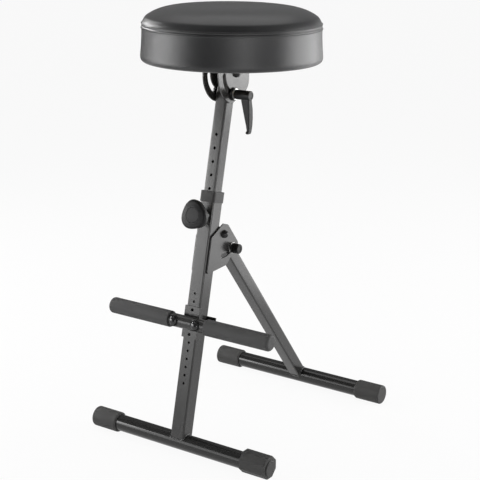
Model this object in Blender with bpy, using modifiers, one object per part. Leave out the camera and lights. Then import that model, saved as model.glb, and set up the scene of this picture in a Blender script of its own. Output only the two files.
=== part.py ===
"""Folding musician's stool with a round padded seat, a sliding post and a sliding footrest.

Metres, +Z up, and the sitter faces -Y. The origin is on the floor, midway between the two foot bars.
A square outer tube leans back from the front foot bar. The rear leg folds on two cheeks welded to it,
a thinner inner tube slides in it as the seat post, and the footrest slides along its front.
Places on the outer tube are given as a height along the tube and a depth behind its axis.
"""
import bpy
import bmesh
from math import atan2, cos, hypot, pi, radians, sin, sqrt, tan
from mathutils import Euler, Matrix, Vector

# Driving dimensions, in metres and radians

# Clearance between pieces that touch on the real stool
GAP = 0.0003

# Base: two foot bars with end caps
BASE_DEPTH = 0.420
FOOT_LENGTH = 0.407
FOOT_TUBE_RADIUS = 0.016
FOOT_TUBE_WALL = 0.002
CAP_RADIUS = 0.0195
CAP_LENGTH = 0.058
CAP_END = 0.004
CAP_ROUND = 0.003
LEVELLER_APOTHEM = 0.0205
LEVELLER_OFFSET = 0.0012
LEVELLER_SIDES = 8
LEVELLER_EDGE = 0.0012
LEVELLER_BOSS_RADIUS = 0.0150
LEVELLER_BOSS = 0.003

# Outer tube and the guide collar on its top
LEG_LEAN = radians(12.3)
OUTER_SIDE = 0.030
OUTER_WALL = 0.002
OUTER_TOP = 0.470
TUBE_CORNER = 0.003
COLLAR_WALL = 0.0012
COLLAR_SKIRT = 0.015
COLLAR_CROWN = 0.005
COLLAR_CORNER = 0.004
STEP_HOLE_FIRST = 0.113
STEP_HOLE_PITCH = 0.0155
STEP_HOLES = 12
STEP_HOLE_RADIUS = 0.0025

# Inner tube, which is the seat post
INNER_SIDE = 0.025
INNER_WALL = 0.002
INNER_BOTTOM = 0.270
GLIDE_PLUG = 0.015
GLIDE_FLANGE = 0.004
PIN_HEIGHT = 0.430
PIN_HOLE_RADIUS = 0.003
PIN_HOLE_PITCH = 0.025
PIN_HOLES_ABOVE = 6
PIN_HOLES_BELOW = 4

# Height lock: bush on the outer tube, sprung pin and three-lobed knob
BUSH_RADIUS = 0.011
BUSH_LENGTH = 0.0185
BUSH_WALL = 0.003
BUSH_FRONT = 0.0028
SPINDLE_RADIUS = 0.004
SPINDLE_COLLAR_RADIUS = 0.0066
SPINDLE_COLLAR = 0.0018
SPINDLE_HOLD = 0.014
PIN_TIP_RADIUS = 0.0026
SPRING_WIRE_RADIUS = 0.0005
SPRING_TURNS = 4
SPRING_TURN_POINTS = 9
KNOB_RADIUS = 0.0267
KNOB_LENGTH = 0.0225
KNOB_BACK_RADIUS = 0.0165
KNOB_RIM = 0.014
KNOB_FLANKS = ((0.0007, 0.004), (0.004, 0.0085))
KNOB_LOBES = 3
KNOB_LOBE_SHARE = 0.08

# Fold hinge and its lock
REAR_SIDE = 0.025
REAR_WALL = 0.002
FOLD_PIVOT_HEIGHT = 0.398
FOLD_CLEARANCE = 0.001
FOLD_SWING = radians(47.0)
LOCK_RADIUS = 0.042
CHEEK_THICKNESS = 0.003
CHEEK_BOTTOM = 0.322
CHEEK_FRONT_TOP = 0.391
CHEEK_SETBACK = 0.0048
CHEEK_TOP_RISE = 0.0195
CHEEK_TOP_DEPTH = 0.0225
CHEEK_EDGE = 0.0075
CHEEK_TAIL = 0.011
CHEEK_WEB = 0.034
CHEEK_SHOULDER = 0.004
CHEEK_CORNER = 0.0035
CHEEK_ROUND = 0.007
M8_RADIUS = 0.004
M8_FLATS = 0.013
M8_NUT = 0.0065
BOLT_END = 0.0015
DOME_RADIUS = 0.0080
DOME_HEIGHT = 0.0080
SPACER_RADIUS = 0.010
WASHER_RADIUS = 0.0105
WASHER_THICKNESS = 0.0016
LOCK_KNOB_RADIUS = 0.0088
LOCK_KNOB_LENGTH = 0.0155
LOCK_KNOB_EDGE = 0.0025
LOCK_KNOB_END = 0.003
LOCK_FLANGE_RADIUS = 0.0098
LOCK_FLANGE = 0.003
LOCK_FLANGE_SLOPE = 0.001

# Footrest
FOOTREST_LENGTH = 0.364
FOOTREST_SHIFT = 0.005
FOOTREST_TUBE_RADIUS = 0.0125
FOOTREST_TUBE_WALL = 0.0015
GRIP_RADIUS = 0.0154
GRIP_LENGTH = 0.142
GRIP_END = 0.004
GRIP_ROUND = 0.005
GRIP_LIP = 0.0015
CHANNEL_THICKNESS = 0.0018
CHANNEL_FLOOR = 0.001
CHANNEL_REACH = 0.030
CHANNEL_FLANGE = 0.012
CHANNEL_HOLE_RADIUS = 0.003
CHANNEL_HOLES = (6, 9)
M6_RADIUS = 0.003
M6_FLATS = 0.010
M6_NUT = 0.005
CLAMP_PLATE_THICKNESS = 0.003
CLAMP_PLATE_HALF = 0.012
CLAMP_PLATE_EDGE = 0.0055
CLAMP_BOLT_SIDES = (-0.0228, 0.0268)
CLAMP_DOME_RADIUS = 0.0105
CLAMP_DOME_HEIGHT = 0.0055
CLAMP_DOME_SKIRT = 0.0056

# Tilt head and seat
TILT_PIVOT_HEIGHT = 0.695
TILT_SLOT_RADIUS = 0.038
TILT_SLOT_END = radians(88.0)
TILT_RIM = 0.0125
TILT_REAR = 0.042
TILT_REAR_ROUND = 0.024
TILT_REAR_START = radians(-65.0)
TILT_REAR_DROP = 0.016
TILT_SPACER = 0.0024
BRACKET_THICKNESS = 0.0025
BRACKET_HALF = 0.048
SEAT_RISE = 0.0195
SEAT_SETBACK = 0.0106
SEAT_RADIUS = 0.168
SEAM_RADIUS = 0.165
SEAM_HEIGHT = 0.0655
SEAT_CROWN = 0.0357
CROWN_POWER = 4.6
CROWN_ROUND = 2.25
SEAT_EDGE = 0.0095
SEAT_WAIST = 0.0007
BOARD_RADIUS = 0.157
BOARD_THICKNESS = 0.012
SCREW_SPREAD = 0.035
SCREW_RADIUS = 0.0020
SCREW_HEAD_RADIUS = 0.0042
SCREW_HEAD = 0.0026
SCREW_BITE = 0.010

# Tilt clamp
M10_RADIUS = 0.005
CLAMP_SPACER_RADIUS = 0.012
CLAMP_SPACER = 0.0034
LEVER_HUB_RADIUS = 0.0088
LEVER_HUB_LENGTH = 0.031
LEVER_ARM_WIDTH = 0.0135
LEVER_REACH = 0.071
LEVER_ROOT = 0.0072
LEVER_NECK = 0.0058
LEVER_HOOK = 0.0015
LEVER_TIP_WIDTH = 0.0045
LEVER_END = 0.004
LEVER_EDGE = 0.0015
LEVER_HEEL = 0.012
LEVER_BEND = 0.010
LEVER_SLANT = 0.002
LEVER_ROOT_ROUND = 0.0005
LEVER_TIP_ROUND = 0.003

# Facets, and how far a cutter runs past what it cuts
ROUND_STEPS = 28
KNOB_STEPS = 36
HUB_STEPS = 24
SMALL_STEPS = 16
HOLE_STEPS = 10
ARC_STEPS = 10
EDGE_STEPS = 4
CORNER_STEPS = 3
SLOT_END_STEPS = 6
DOME_STEPS = 3
CROWN_STEPS = 5
SEAT_STEPS = 52
SEAT_CROWN_SHARES = (0.0, 0.30, 0.55, 0.72, 0.84, 0.92, 0.965, 0.99)
SEAT_BAND_SHARES = (0.0, 0.12, 0.35, 0.60, 0.82)
SHARP_ANGLE = radians(37.0)
MERGE = 0.00001
OVERCUT = 0.002

# Turns that point a piece's own Z along an axis
ALONG_Z = (0.0, 0.0, 0.0)
TO_RIGHT = (0.0, pi / 2, 0.0)
TO_LEFT = (0.0, -pi / 2, 0.0)
TO_FRONT = (pi / 2, 0.0, 0.0)
TO_REAR = (-pi / 2, 0.0, 0.0)
UPRIGHT_PLATE = (pi / 2, 0.0, pi / 2)

for old in list(bpy.data.objects):
    bpy.data.objects.remove(old, do_unlink=True)

STOOL = bpy.data.collections.new("musician_stool")
bpy.context.scene.collection.children.link(STOOL)
TOOLS = bpy.data.collections.new("cutters")
bpy.context.scene.collection.children.link(TOOLS)


def finish(name, colour, roughness, metallic):
    """One Principled material."""
    made = bpy.data.materials.new(name)
    made.use_nodes = True
    shader = made.node_tree.nodes["Principled BSDF"]
    shader.inputs["Base Color"].default_value = (*colour, 1.0)
    shader.inputs["Roughness"].default_value = roughness
    shader.inputs["Metallic"].default_value = metallic
    return made


POWDER_COAT = finish("powder_coat", (0.055, 0.053, 0.052), 0.38, 0.25)
BLACK_PLASTIC = finish("black_plastic", (0.018, 0.018, 0.019), 0.45, 0.0)
GREY_RUBBER = finish("grey_rubber", (0.075, 0.075, 0.074), 0.75, 0.0)
BLACK_STEEL = finish("black_steel", (0.025, 0.025, 0.026), 0.40, 0.6)
ZINC = finish("zinc_plate", (0.62, 0.62, 0.60), 0.30, 1.0)
LEATHERETTE = finish("leatherette", (0.022, 0.022, 0.024), 0.48, 0.0)
PLYWOOD = finish("plywood", (0.50, 0.36, 0.21), 0.70, 0.0)
NYLON = finish("nylon", (0.030, 0.030, 0.031), 0.50, 0.0)


def joint_axis(name, place, turn=0.0, parent=None):
    """An empty on a joint's axis, turned about X."""
    empty = bpy.data.objects.new(name, None)
    empty.location = place
    empty.rotation_euler = (turn, 0.0, 0.0)
    empty.parent = parent
    STOOL.objects.link(empty)
    return empty


def fit(solid, axis, material, at=(0.0, 0.0, 0.0), turn=ALONG_Z):
    """Give a solid its material and its place on a joint's axis."""
    solid.data.materials.append(material)
    solid.parent = axis
    solid.location = at
    solid.rotation_euler = turn
    STOOL.objects.link(solid)
    return solid


def work(solid, tool, operation, at, turn):
    """Cut a tool out of a solid, or fuse it on, with the tool placed on the solid's own axis."""
    tool.parent = solid.parent
    tool.location = at
    tool.rotation_euler = turn
    tool.hide_render = True
    tool.display_type = 'WIRE'
    TOOLS.objects.link(tool)
    step = solid.modifiers.new(tool.name, 'BOOLEAN')
    step.operation = operation
    step.object = tool


def cut(solid, tool, at=(0.0, 0.0, 0.0), turn=ALONG_Z):
    work(solid, tool, 'DIFFERENCE', at, turn)


def fuse(solid, tool, at=(0.0, 0.0, 0.0), turn=ALONG_Z):
    work(solid, tool, 'UNION', at, turn)


def soften(solid, width, segments=2):
    """Round a solid's sharp edges."""
    bevel = solid.modifiers.new("edges", 'BEVEL')
    bevel.width = width
    bevel.segments = segments
    bevel.limit_method = 'ANGLE'
    bevel.angle_limit = SHARP_ANGLE


def shape_object(name, shape):
    """Turn a bmesh into an object with smooth round faces and sharp corners."""
    mesh = bpy.data.meshes.new(name)
    shape.to_mesh(mesh)
    shape.free()
    mesh.shade_smooth()
    mesh.set_sharp_from_angle(angle=SHARP_ANGLE)
    return bpy.data.objects.new(name, mesh)


def block(name, low, high):
    """A box between two corners."""
    low, high = Vector(low), Vector(high)
    place = Matrix.Translation((low + high) / 2) @ Matrix.Diagonal((*(high - low), 1.0))
    shape = bmesh.new()
    bmesh.ops.create_cube(shape, size=1.0, matrix=place)
    return shape_object(name, shape)


def pegs(name, centres, radius, length, turn, steps=HOLE_STEPS):
    """Equal cylinders about several centres, all along one direction."""
    shape = bmesh.new()
    for centre in centres:
        place = Matrix.Translation(centre) @ Euler(turn).to_matrix().to_4x4()
        bmesh.ops.create_cone(shape, cap_ends=True, segments=steps, radius1=radius, radius2=radius,
                              depth=length, matrix=place)
    return shape_object(name, shape)


def turned(name, profile, steps=ROUND_STEPS):
    """A solid turned about its own Z from (radius, height) pairs that run down its outer side."""
    points = [(radius, 0.0, height) for radius, height in profile]
    edges = [(index, index + 1) for index in range(len(points) - 1)]
    if profile[0][0] > 0.0:
        edges.append((len(points) - 1, 0))
    mesh = bpy.data.meshes.new(name)
    mesh.from_pydata(points, edges, [])
    solid = bpy.data.objects.new(name, mesh)
    screw = solid.modifiers.new("turn", 'SCREW')
    screw.steps = steps
    screw.render_steps = steps
    screw.use_merge_vertices = True
    screw.merge_threshold = MERGE
    return solid


def tube_ring(name, outer, inner, length, steps=ROUND_STEPS):
    """A plain round tube, centred on its own origin."""
    half = length / 2
    return turned(name, [(outer, half), (outer, -half), (inner, -half), (inner, half)], steps)


def arc(centre, radius, start, end, steps):
    """Points on an arc, both ends included, with angles from +u towards +v."""
    points = []
    for index in range(steps + 1):
        angle = start + (end - start) * index / steps
        points.append((centre[0] + radius * cos(angle), centre[1] + radius * sin(angle)))
    return points


def circle(centre, radius, steps):
    return arc(centre, radius, 0.0, 2 * pi, steps)[:-1]


def rounded(corners):
    """A closed outline whose corners, given as (u, v, radius), are rounded by tangent arcs."""
    outline = []
    for index, (u, v, radius) in enumerate(corners):
        corner = Vector((u, v))
        before = (Vector(corners[index - 1][:2]) - corner).normalized()
        after = (Vector(corners[(index + 1) % len(corners)][:2]) - corner).normalized()
        half = before.angle(after) / 2
        centre = corner + (before + after).normalized() * radius / sin(half)
        first = corner + before * radius / tan(half) - centre
        last = corner + after * radius / tan(half) - centre
        start = atan2(first.y, first.x)
        sweep = (atan2(last.y, last.x) - start + pi) % (2 * pi) - pi
        outline += arc(centre, radius, start, start + sweep, CORNER_STEPS)
    return outline


def square(side, corner):
    """A square outline with rounded corners, centred on the origin."""
    half = side / 2
    corners = [(half, half), (-half, half), (-half, -half), (half, -half)]
    return rounded([(u, v, corner) for u, v in corners])


def arc_slot(centre, radius, half_width, start, end):
    """A curved slot with round ends about a pivot."""
    first = arc(centre, radius, start, start, 1)[0]
    last = arc(centre, radius, end, end, 1)[0]
    side = pi if end > start else -pi
    outline = arc(centre, radius + half_width, start, end, ARC_STEPS)
    outline += arc(last, half_width, end, end + side, SLOT_END_STEPS)[1:-1]
    outline += arc(centre, radius - half_width, end, start, ARC_STEPS)
    outline += arc(first, half_width, start + side, start + 2 * side, SLOT_END_STEPS)[1:-1]
    return outline


def flat(name, outlines, thickness):
    """A plate on its own XY plane: the first outline, pierced by the others."""
    drawing = bpy.data.curves.new(name, 'CURVE')
    drawing.dimensions = '2D'
    drawing.fill_mode = 'BOTH'
    drawing.extrude = thickness / 2
    for outline in outlines:
        spline = drawing.splines.new('POLY')
        spline.points.add(len(outline) - 1)
        for point, (u, v) in zip(spline.points, outline):
            point.co = (u, v, 0.0, 1.0)
        spline.use_cyclic_u = True
    sketch = bpy.data.objects.new(name + "_outline", drawing)
    STOOL.objects.link(sketch)
    graph = bpy.context.evaluated_depsgraph_get()
    filled = bpy.data.meshes.new_from_object(sketch.evaluated_get(graph))
    bpy.data.objects.remove(sketch)
    shape = bmesh.new()
    shape.from_mesh(filled)
    bpy.data.meshes.remove(filled)
    bmesh.ops.remove_doubles(shape, verts=shape.verts, dist=MERGE)
    bmesh.ops.recalc_face_normals(shape, faces=shape.faces)
    return shape_object(name, shape)


def dome(radius, height, base):
    """A round head's profile, from its top down to its base."""
    angles = [pi / 2 * step / DOME_STEPS for step in range(DOME_STEPS)]
    rest = [(radius * cos(angle), base + height * sin(angle)) for angle in reversed(angles)]
    return [(0.0, base + height), *rest]


def dome_bolt(name, head_radius, head_height, shank_radius, shank_length, steps=SMALL_STEPS):
    """A round-headed bolt along its own Z, with the underside of its head at zero."""
    shank = [(shank_radius, 0.0), (shank_radius, -shank_length), (0.0, -shank_length)]
    return turned(name, dome(head_radius, head_height, 0.0) + shank, steps)


def hex_nut(name, flats, height, bore):
    """A hexagon nut on its own XY plane."""
    outline = circle((0.0, 0.0), flats / sqrt(3.0), 6)
    return flat(name, [outline, circle((0.0, 0.0), bore, HOLE_STEPS)], height)


def leg_point(depth, height):
    """World Y and Z of a place on the outer tube."""
    y = -BASE_DEPTH / 2 + height * sin(LEG_LEAN) + depth * cos(LEG_LEAN)
    z = CAP_RADIUS + height * cos(LEG_LEAN) - depth * sin(LEG_LEAN)
    return y, z


# Joint axes

STEP_HEIGHTS = [STEP_HOLE_FIRST + STEP_HOLE_PITCH * index for index in range(STEP_HOLES)]
FOOTREST_HEIGHT = sum(STEP_HEIGHTS[index] for index in CHANNEL_HOLES) / len(CHANNEL_HOLES)
FOOT_FRONT = (0.0, -BASE_DEPTH / 2, CAP_RADIUS)
FOLD_DEPTH = OUTER_SIDE / 2 + REAR_SIDE / 2 + FOLD_CLEARANCE
FOLD_Y, FOLD_Z = leg_point(FOLD_DEPTH, FOLD_PIVOT_HEIGHT)
REAR_LEAN = atan2(BASE_DEPTH / 2 - FOLD_Y, FOLD_Z - CAP_RADIUS)
REAR_LENGTH = hypot(BASE_DEPTH / 2 - FOLD_Y, FOLD_Z - CAP_RADIUS)
FOLD_OPEN = LEG_LEAN + REAR_LEAN

front_foot_axis = joint_axis("front_foot_axis", FOOT_FRONT)
leg_axis = joint_axis("leg_axis", FOOT_FRONT, -LEG_LEAN)
post_axis = joint_axis("post_axis", FOOT_FRONT, -LEG_LEAN)
fold_axis = joint_axis("fold_axis", (0.0, FOLD_Y, FOLD_Z), REAR_LEAN)
rear_foot_axis = joint_axis("rear_foot_axis", (0.0, 0.0, -REAR_LENGTH), -REAR_LEAN, fold_axis)
lock_axis = joint_axis("lock_axis", (0.0, 0.0, -LOCK_RADIUS), 0.0, fold_axis)
pin_axis = joint_axis("pin_axis", (0.0, *leg_point(0.0, PIN_HEIGHT)), -LEG_LEAN)
footrest_axis = joint_axis("footrest_axis", (0.0, *leg_point(0.0, FOOTREST_HEIGHT)), -LEG_LEAN)
tilt_axis = joint_axis("tilt_axis", (0.0, *leg_point(0.0, TILT_PIVOT_HEIGHT)))
CLAMP_HEIGHT = TILT_PIVOT_HEIGHT - TILT_SLOT_RADIUS
clamp_axis = joint_axis("clamp_axis", (0.0, *leg_point(0.0, CLAMP_HEIGHT)))


# Foot bars: a round tube with a cap on each end. The front right cap is an eccentric octagon, which
# levels the stool as it is turned.

FOOT_TUBE_LENGTH = FOOT_LENGTH - 2 * (CAP_END + GAP)
CAP_PLACE = FOOT_LENGTH / 2 - CAP_LENGTH
CAP_BORE = FOOT_TUBE_RADIUS + GAP


def foot_tube(name, axis):
    bore = FOOT_TUBE_RADIUS - FOOT_TUBE_WALL
    fit(tube_ring(name, FOOT_TUBE_RADIUS, bore, FOOT_TUBE_LENGTH), axis, POWDER_COAT, turn=TO_RIGHT)


def foot_cap(name, axis, side):
    """A round cup that is open towards the middle of its foot bar."""
    edge = arc((CAP_RADIUS - CAP_ROUND, CAP_LENGTH - CAP_ROUND), CAP_ROUND, pi / 2, 0.0, EDGE_STEPS)
    lip = (CAP_RADIUS + CAP_BORE) / 2
    inside = CAP_LENGTH - CAP_END
    profile = [(0.0, CAP_LENGTH), *edge, (CAP_RADIUS, CAP_ROUND), (lip, 0.0), (CAP_BORE, 0.0),
               (CAP_BORE, inside), (0.0, inside)]
    turn = TO_RIGHT if side > 0 else TO_LEFT
    fit(turned(name, profile), axis, GREY_RUBBER, (side * CAP_PLACE, 0.0, 0.0), turn)


foot_tube("front_foot_tube", front_foot_axis)
foot_tube("rear_foot_tube", rear_foot_axis)
foot_cap("front_foot_cap_left", front_foot_axis, -1)
foot_cap("rear_foot_cap_left", rear_foot_axis, -1)
foot_cap("rear_foot_cap_right", rear_foot_axis, 1)


def leveller():
    """The octagon's centre is off the tube's axis, and one of its flats lies on the floor."""
    rise = LEVELLER_APOTHEM - CAP_RADIUS
    corner = LEVELLER_APOTHEM / cos(pi / LEVELLER_SIDES)
    turn = pi / LEVELLER_SIDES
    outline = arc((LEVELLER_OFFSET, rise), corner, turn, turn + 2 * pi, LEVELLER_SIDES)[:-1]
    length = CAP_LENGTH - LEVELLER_BOSS
    body = flat("front_foot_leveller", [outline], length)
    fit(body, front_foot_axis, GREY_RUBBER, (CAP_PLACE + length / 2, 0.0, 0.0), UPRIGHT_PLATE)
    soften(body, LEVELLER_EDGE)
    boss = [(0.0, LEVELLER_BOSS), (LEVELLER_BOSS_RADIUS - LEVELLER_EDGE, LEVELLER_BOSS),
            (LEVELLER_BOSS_RADIUS, LEVELLER_BOSS - LEVELLER_EDGE), (LEVELLER_BOSS_RADIUS, -OVERCUT),
            (0.0, -OVERCUT)]
    fuse(body, turned("leveller_boss", boss), (CAP_PLACE + length, 0.0, 0.0), TO_RIGHT)
    depth = CAP_LENGTH - CAP_END + OVERCUT
    bore = pegs("leveller_bore", [(CAP_PLACE - OVERCUT + depth / 2, 0.0, 0.0)], CAP_BORE, depth, TO_RIGHT,
                ROUND_STEPS)
    cut(body, bore)


leveller()


# Outer tube: coped onto the front foot bar, with the footrest's holes and the pin's hole in its front

def square_tube(name, side, wall, bottom, top, axis):
    """A square tube along its axis' own Z."""
    inside = square(side - 2 * wall, TUBE_CORNER - wall)
    body = flat(name, [square(side, TUBE_CORNER), inside], top - bottom)
    return fit(body, axis, POWDER_COAT, (0.0, 0.0, (top + bottom) / 2))


def cope(body, name, at):
    """Hollow a leg's end to sit on its foot bar."""
    saddle = FOOT_TUBE_RADIUS + GAP
    cut(body, pegs(name, [at], saddle, 2 * OUTER_SIDE, TO_RIGHT, ROUND_STEPS))


outer_tube = square_tube("outer_tube", OUTER_SIDE, OUTER_WALL, 0.0, OUTER_TOP, leg_axis)
cope(outer_tube, "outer_tube_cope", (0.0, 0.0, 0.0))
FRONT_WALL = -OUTER_SIDE / 2 + OUTER_WALL / 2
cut(outer_tube, pegs("step_holes", [(0.0, FRONT_WALL, height) for height in STEP_HEIGHTS], STEP_HOLE_RADIUS,
                     OUTER_WALL + 2 * OVERCUT, TO_FRONT))
cut(outer_tube, pegs("pin_passage", [(0.0, FRONT_WALL, PIN_HEIGHT)], SPINDLE_RADIUS + GAP,
                     OUTER_WALL + 2 * OVERCUT, TO_FRONT))


# Guide collar: a plastic cap over the outer tube's end that the inner tube slides through

def guide_collar():
    bottom = OUTER_TOP - COLLAR_SKIRT
    top = OUTER_TOP + GAP + COLLAR_CROWN
    socket = OUTER_SIDE + 2 * GAP
    body = flat("guide_collar", [square(socket + 2 * COLLAR_WALL, COLLAR_CORNER)], top - bottom)
    fit(body, leg_axis, BLACK_PLASTIC, (0.0, 0.0, (top + bottom) / 2))
    skirt = flat("collar_socket", [square(socket, TUBE_CORNER)], COLLAR_SKIRT + GAP + OVERCUT)
    cut(body, skirt, (0.0, 0.0, (bottom - OVERCUT + OUTER_TOP + GAP) / 2))
    passage = flat("collar_passage", [square(INNER_SIDE + 2 * GAP, TUBE_CORNER)], 2 * (top - bottom))
    cut(body, passage, (0.0, 0.0, top))


guide_collar()


# Hinge cheeks: two plates on the outer tube's sides, with the fold pivot's hole and the lock's curved slot

CHEEK_MIDDLE = OUTER_SIDE / 2 + GAP + CHEEK_THICKNESS / 2
CHEEK_FACE = CHEEK_MIDDLE + CHEEK_THICKNESS / 2
HINGE_REACH = REAR_SIDE / 2 + CHEEK_EDGE


def beside_rear_leg(along, across):
    """Depth and height of a place given along the open rear leg and across it, from the fold pivot."""
    depth = FOLD_DEPTH + along * sin(FOLD_OPEN) + across * cos(FOLD_OPEN)
    height = FOLD_PIVOT_HEIGHT - along * cos(FOLD_OPEN) + across * sin(FOLD_OPEN)
    return depth, height


def cheek_outlines():
    front = -OUTER_SIDE / 2 + CHEEK_SETBACK
    tail = LOCK_RADIUS + CHEEK_TAIL
    outline = rounded([
        (front, CHEEK_BOTTOM, CHEEK_CORNER),
        (*beside_rear_leg(tail, -CHEEK_WEB), CHEEK_ROUND),
        (*beside_rear_leg(tail, HINGE_REACH), CHEEK_ROUND),
        (*beside_rear_leg(-CHEEK_SHOULDER, HINGE_REACH), CHEEK_ROUND),
        (CHEEK_TOP_DEPTH, FOLD_PIVOT_HEIGHT + CHEEK_TOP_RISE, CHEEK_CORNER),
        (front, CHEEK_FRONT_TOP, CHEEK_CORNER),
    ])
    pivot = (FOLD_DEPTH, FOLD_PIVOT_HEIGHT)
    closed = FOLD_OPEN - FOLD_SWING - pi / 2
    slot = arc_slot(pivot, LOCK_RADIUS, M8_RADIUS + GAP, closed, FOLD_OPEN - pi / 2)
    return [outline, circle(pivot, M8_RADIUS + GAP, HOLE_STEPS), slot]


for side, word in ((-1, "left"), (1, "right")):
    cheek = flat("hinge_cheek_" + word, cheek_outlines(), CHEEK_THICKNESS)
    fit(cheek, leg_axis, POWDER_COAT, (side * CHEEK_MIDDLE, 0.0, 0.0), UPRIGHT_PLATE)


# Fold pivot: a round-headed bolt through both cheeks and the rear leg, with a spacer on each side of the leg

SHANK_SPAN = 2 * (CHEEK_FACE + GAP) + M8_NUT + BOLT_END
NUT_PLACE = CHEEK_FACE + GAP + M8_NUT / 2
fit(dome_bolt("fold_pivot_bolt", DOME_RADIUS, DOME_HEIGHT, M8_RADIUS, SHANK_SPAN), fold_axis, BLACK_STEEL,
    (CHEEK_FACE + GAP, 0.0, 0.0), TO_RIGHT)
fit(hex_nut("fold_pivot_nut", M8_FLATS, M8_NUT, M8_RADIUS + GAP), fold_axis, BLACK_STEEL,
    (-NUT_PLACE, 0.0, 0.0), TO_RIGHT)
HINGE_SPACER = OUTER_SIDE / 2 + GAP - REAR_SIDE / 2 - 2 * GAP
for side, word in ((-1, "left"), (1, "right")):
    spacer = tube_ring("hinge_spacer_" + word, SPACER_RADIUS, M8_RADIUS + GAP, HINGE_SPACER, SMALL_STEPS)
    middle = REAR_SIDE / 2 + GAP + HINGE_SPACER / 2
    fit(spacer, fold_axis, NYLON, (side * middle, 0.0, 0.0), TO_RIGHT)


# Rear leg: a square tube with a round head, coped onto the rear foot bar

def round_head(body, name, side, height):
    """Round a square tube's top about a pivot at a height on its axis."""
    radius = side / 2 - GAP
    wide = side / 2 + OVERCUT
    outline = [(-wide, height), *arc((0.0, height), radius, pi, 0.0, ARC_STEPS), (wide, height),
               (wide, height + side), (-wide, height + side)]
    cut(body, flat(name, [outline], side + 2 * OVERCUT), (0.0, 0.0, 0.0), UPRIGHT_PLATE)


rear_leg = square_tube("rear_leg_tube", REAR_SIDE, REAR_WALL, -REAR_LENGTH, REAR_SIDE / 2, fold_axis)
cope(rear_leg, "rear_leg_cope", (0.0, 0.0, -REAR_LENGTH))
round_head(rear_leg, "rear_leg_head", REAR_SIDE, 0.0)
cut(rear_leg, pegs("rear_leg_holes", [(0.0, 0.0, 0.0), (0.0, 0.0, -LOCK_RADIUS)], M8_RADIUS + GAP,
                   REAR_SIDE + 2 * OVERCUT, TO_RIGHT))


# Fold lock: a bolt from the left through the slots and the rear leg, with a washer and a knob

WASHER_PLACE = CHEEK_FACE + GAP + WASHER_THICKNESS / 2
LOCK_KNOB_BACK = CHEEK_FACE + 2 * GAP + WASHER_THICKNESS
LOCK_BITE = LOCK_KNOB_LENGTH - LOCK_KNOB_END
LOCK_SHANK = CHEEK_FACE + LOCK_KNOB_BACK + LOCK_BITE
fit(dome_bolt("lock_bolt", DOME_RADIUS, DOME_HEIGHT, M8_RADIUS, LOCK_SHANK), lock_axis, BLACK_STEEL,
    (-CHEEK_FACE - GAP, 0.0, 0.0), TO_LEFT)
fit(tube_ring("lock_washer", WASHER_RADIUS, M8_RADIUS + GAP, WASHER_THICKNESS, SMALL_STEPS), lock_axis, ZINC,
    (WASHER_PLACE, 0.0, 0.0), TO_RIGHT)
LOCK_PROFILE = [
    (0.0, LOCK_KNOB_LENGTH),
    (LOCK_KNOB_RADIUS - LOCK_KNOB_EDGE, LOCK_KNOB_LENGTH),
    (LOCK_KNOB_RADIUS, LOCK_KNOB_LENGTH - LOCK_KNOB_EDGE),
    (LOCK_KNOB_RADIUS, LOCK_FLANGE + LOCK_FLANGE_SLOPE),
    (LOCK_FLANGE_RADIUS, LOCK_FLANGE),
    (LOCK_FLANGE_RADIUS, 0.0),
    (M8_RADIUS + GAP, 0.0),
    (M8_RADIUS + GAP, LOCK_BITE),
    (0.0, LOCK_BITE),
]
fit(turned("fold_lock_knob", LOCK_PROFILE, HUB_STEPS), lock_axis, BLACK_PLASTIC, (LOCK_KNOB_BACK, 0.0, 0.0),
    TO_RIGHT)


# Inner tube: the post, with the pin's holes down its front and a round head that carries the seat

INNER_TOP = TILT_PIVOT_HEIGHT + INNER_SIDE / 2
inner_tube = square_tube("inner_tube", INNER_SIDE, INNER_WALL, INNER_BOTTOM, INNER_TOP, post_axis)
round_head(inner_tube, "inner_tube_head", INNER_SIDE, TILT_PIVOT_HEIGHT)
INNER_FRONT = -INNER_SIDE / 2 + INNER_WALL / 2
PIN_HOLES = range(-PIN_HOLES_BELOW, PIN_HOLES_ABOVE + 1)
PIN_HEIGHTS = [PIN_HEIGHT + PIN_HOLE_PITCH * index for index in PIN_HOLES]
cut(inner_tube, pegs("pin_holes", [(0.0, INNER_FRONT, height) for height in PIN_HEIGHTS], PIN_HOLE_RADIUS,
                     INNER_WALL + 2 * OVERCUT, TO_FRONT))
cut(inner_tube, pegs("tilt_pivot_hole", [(0.0, 0.0, TILT_PIVOT_HEIGHT)], M8_RADIUS + GAP,
                     INNER_SIDE + 2 * OVERCUT, TO_RIGHT))
cut(inner_tube, pegs("clamp_hole", [(0.0, 0.0, CLAMP_HEIGHT)], M10_RADIUS + GAP,
                     INNER_SIDE + 2 * OVERCUT, TO_RIGHT))


def post_glide():
    """A plastic plug in the inner tube's lower end, whose flange slides in the outer tube."""
    plug = square(INNER_SIDE - 2 * (INNER_WALL + GAP), TUBE_CORNER - INNER_WALL)
    flange = square(OUTER_SIDE - 2 * (OUTER_WALL + GAP), TUBE_CORNER - OUTER_WALL)
    top = INNER_BOTTOM - GAP
    body = flat("post_glide", [flange], GLIDE_FLANGE)
    fit(body, post_axis, NYLON, (0.0, 0.0, top - GLIDE_FLANGE / 2))
    stem = flat("glide_stem", [plug], GLIDE_PLUG + OVERCUT)
    fuse(body, stem, (0.0, 0.0, top + (GLIDE_PLUG - OVERCUT) / 2))


post_glide()


# Height lock: a bush on the outer tube's front, a pin with a collar, the spring behind it, and the knob.
# The pin is drawn just clear of the post, so that the post can slide.

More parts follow.
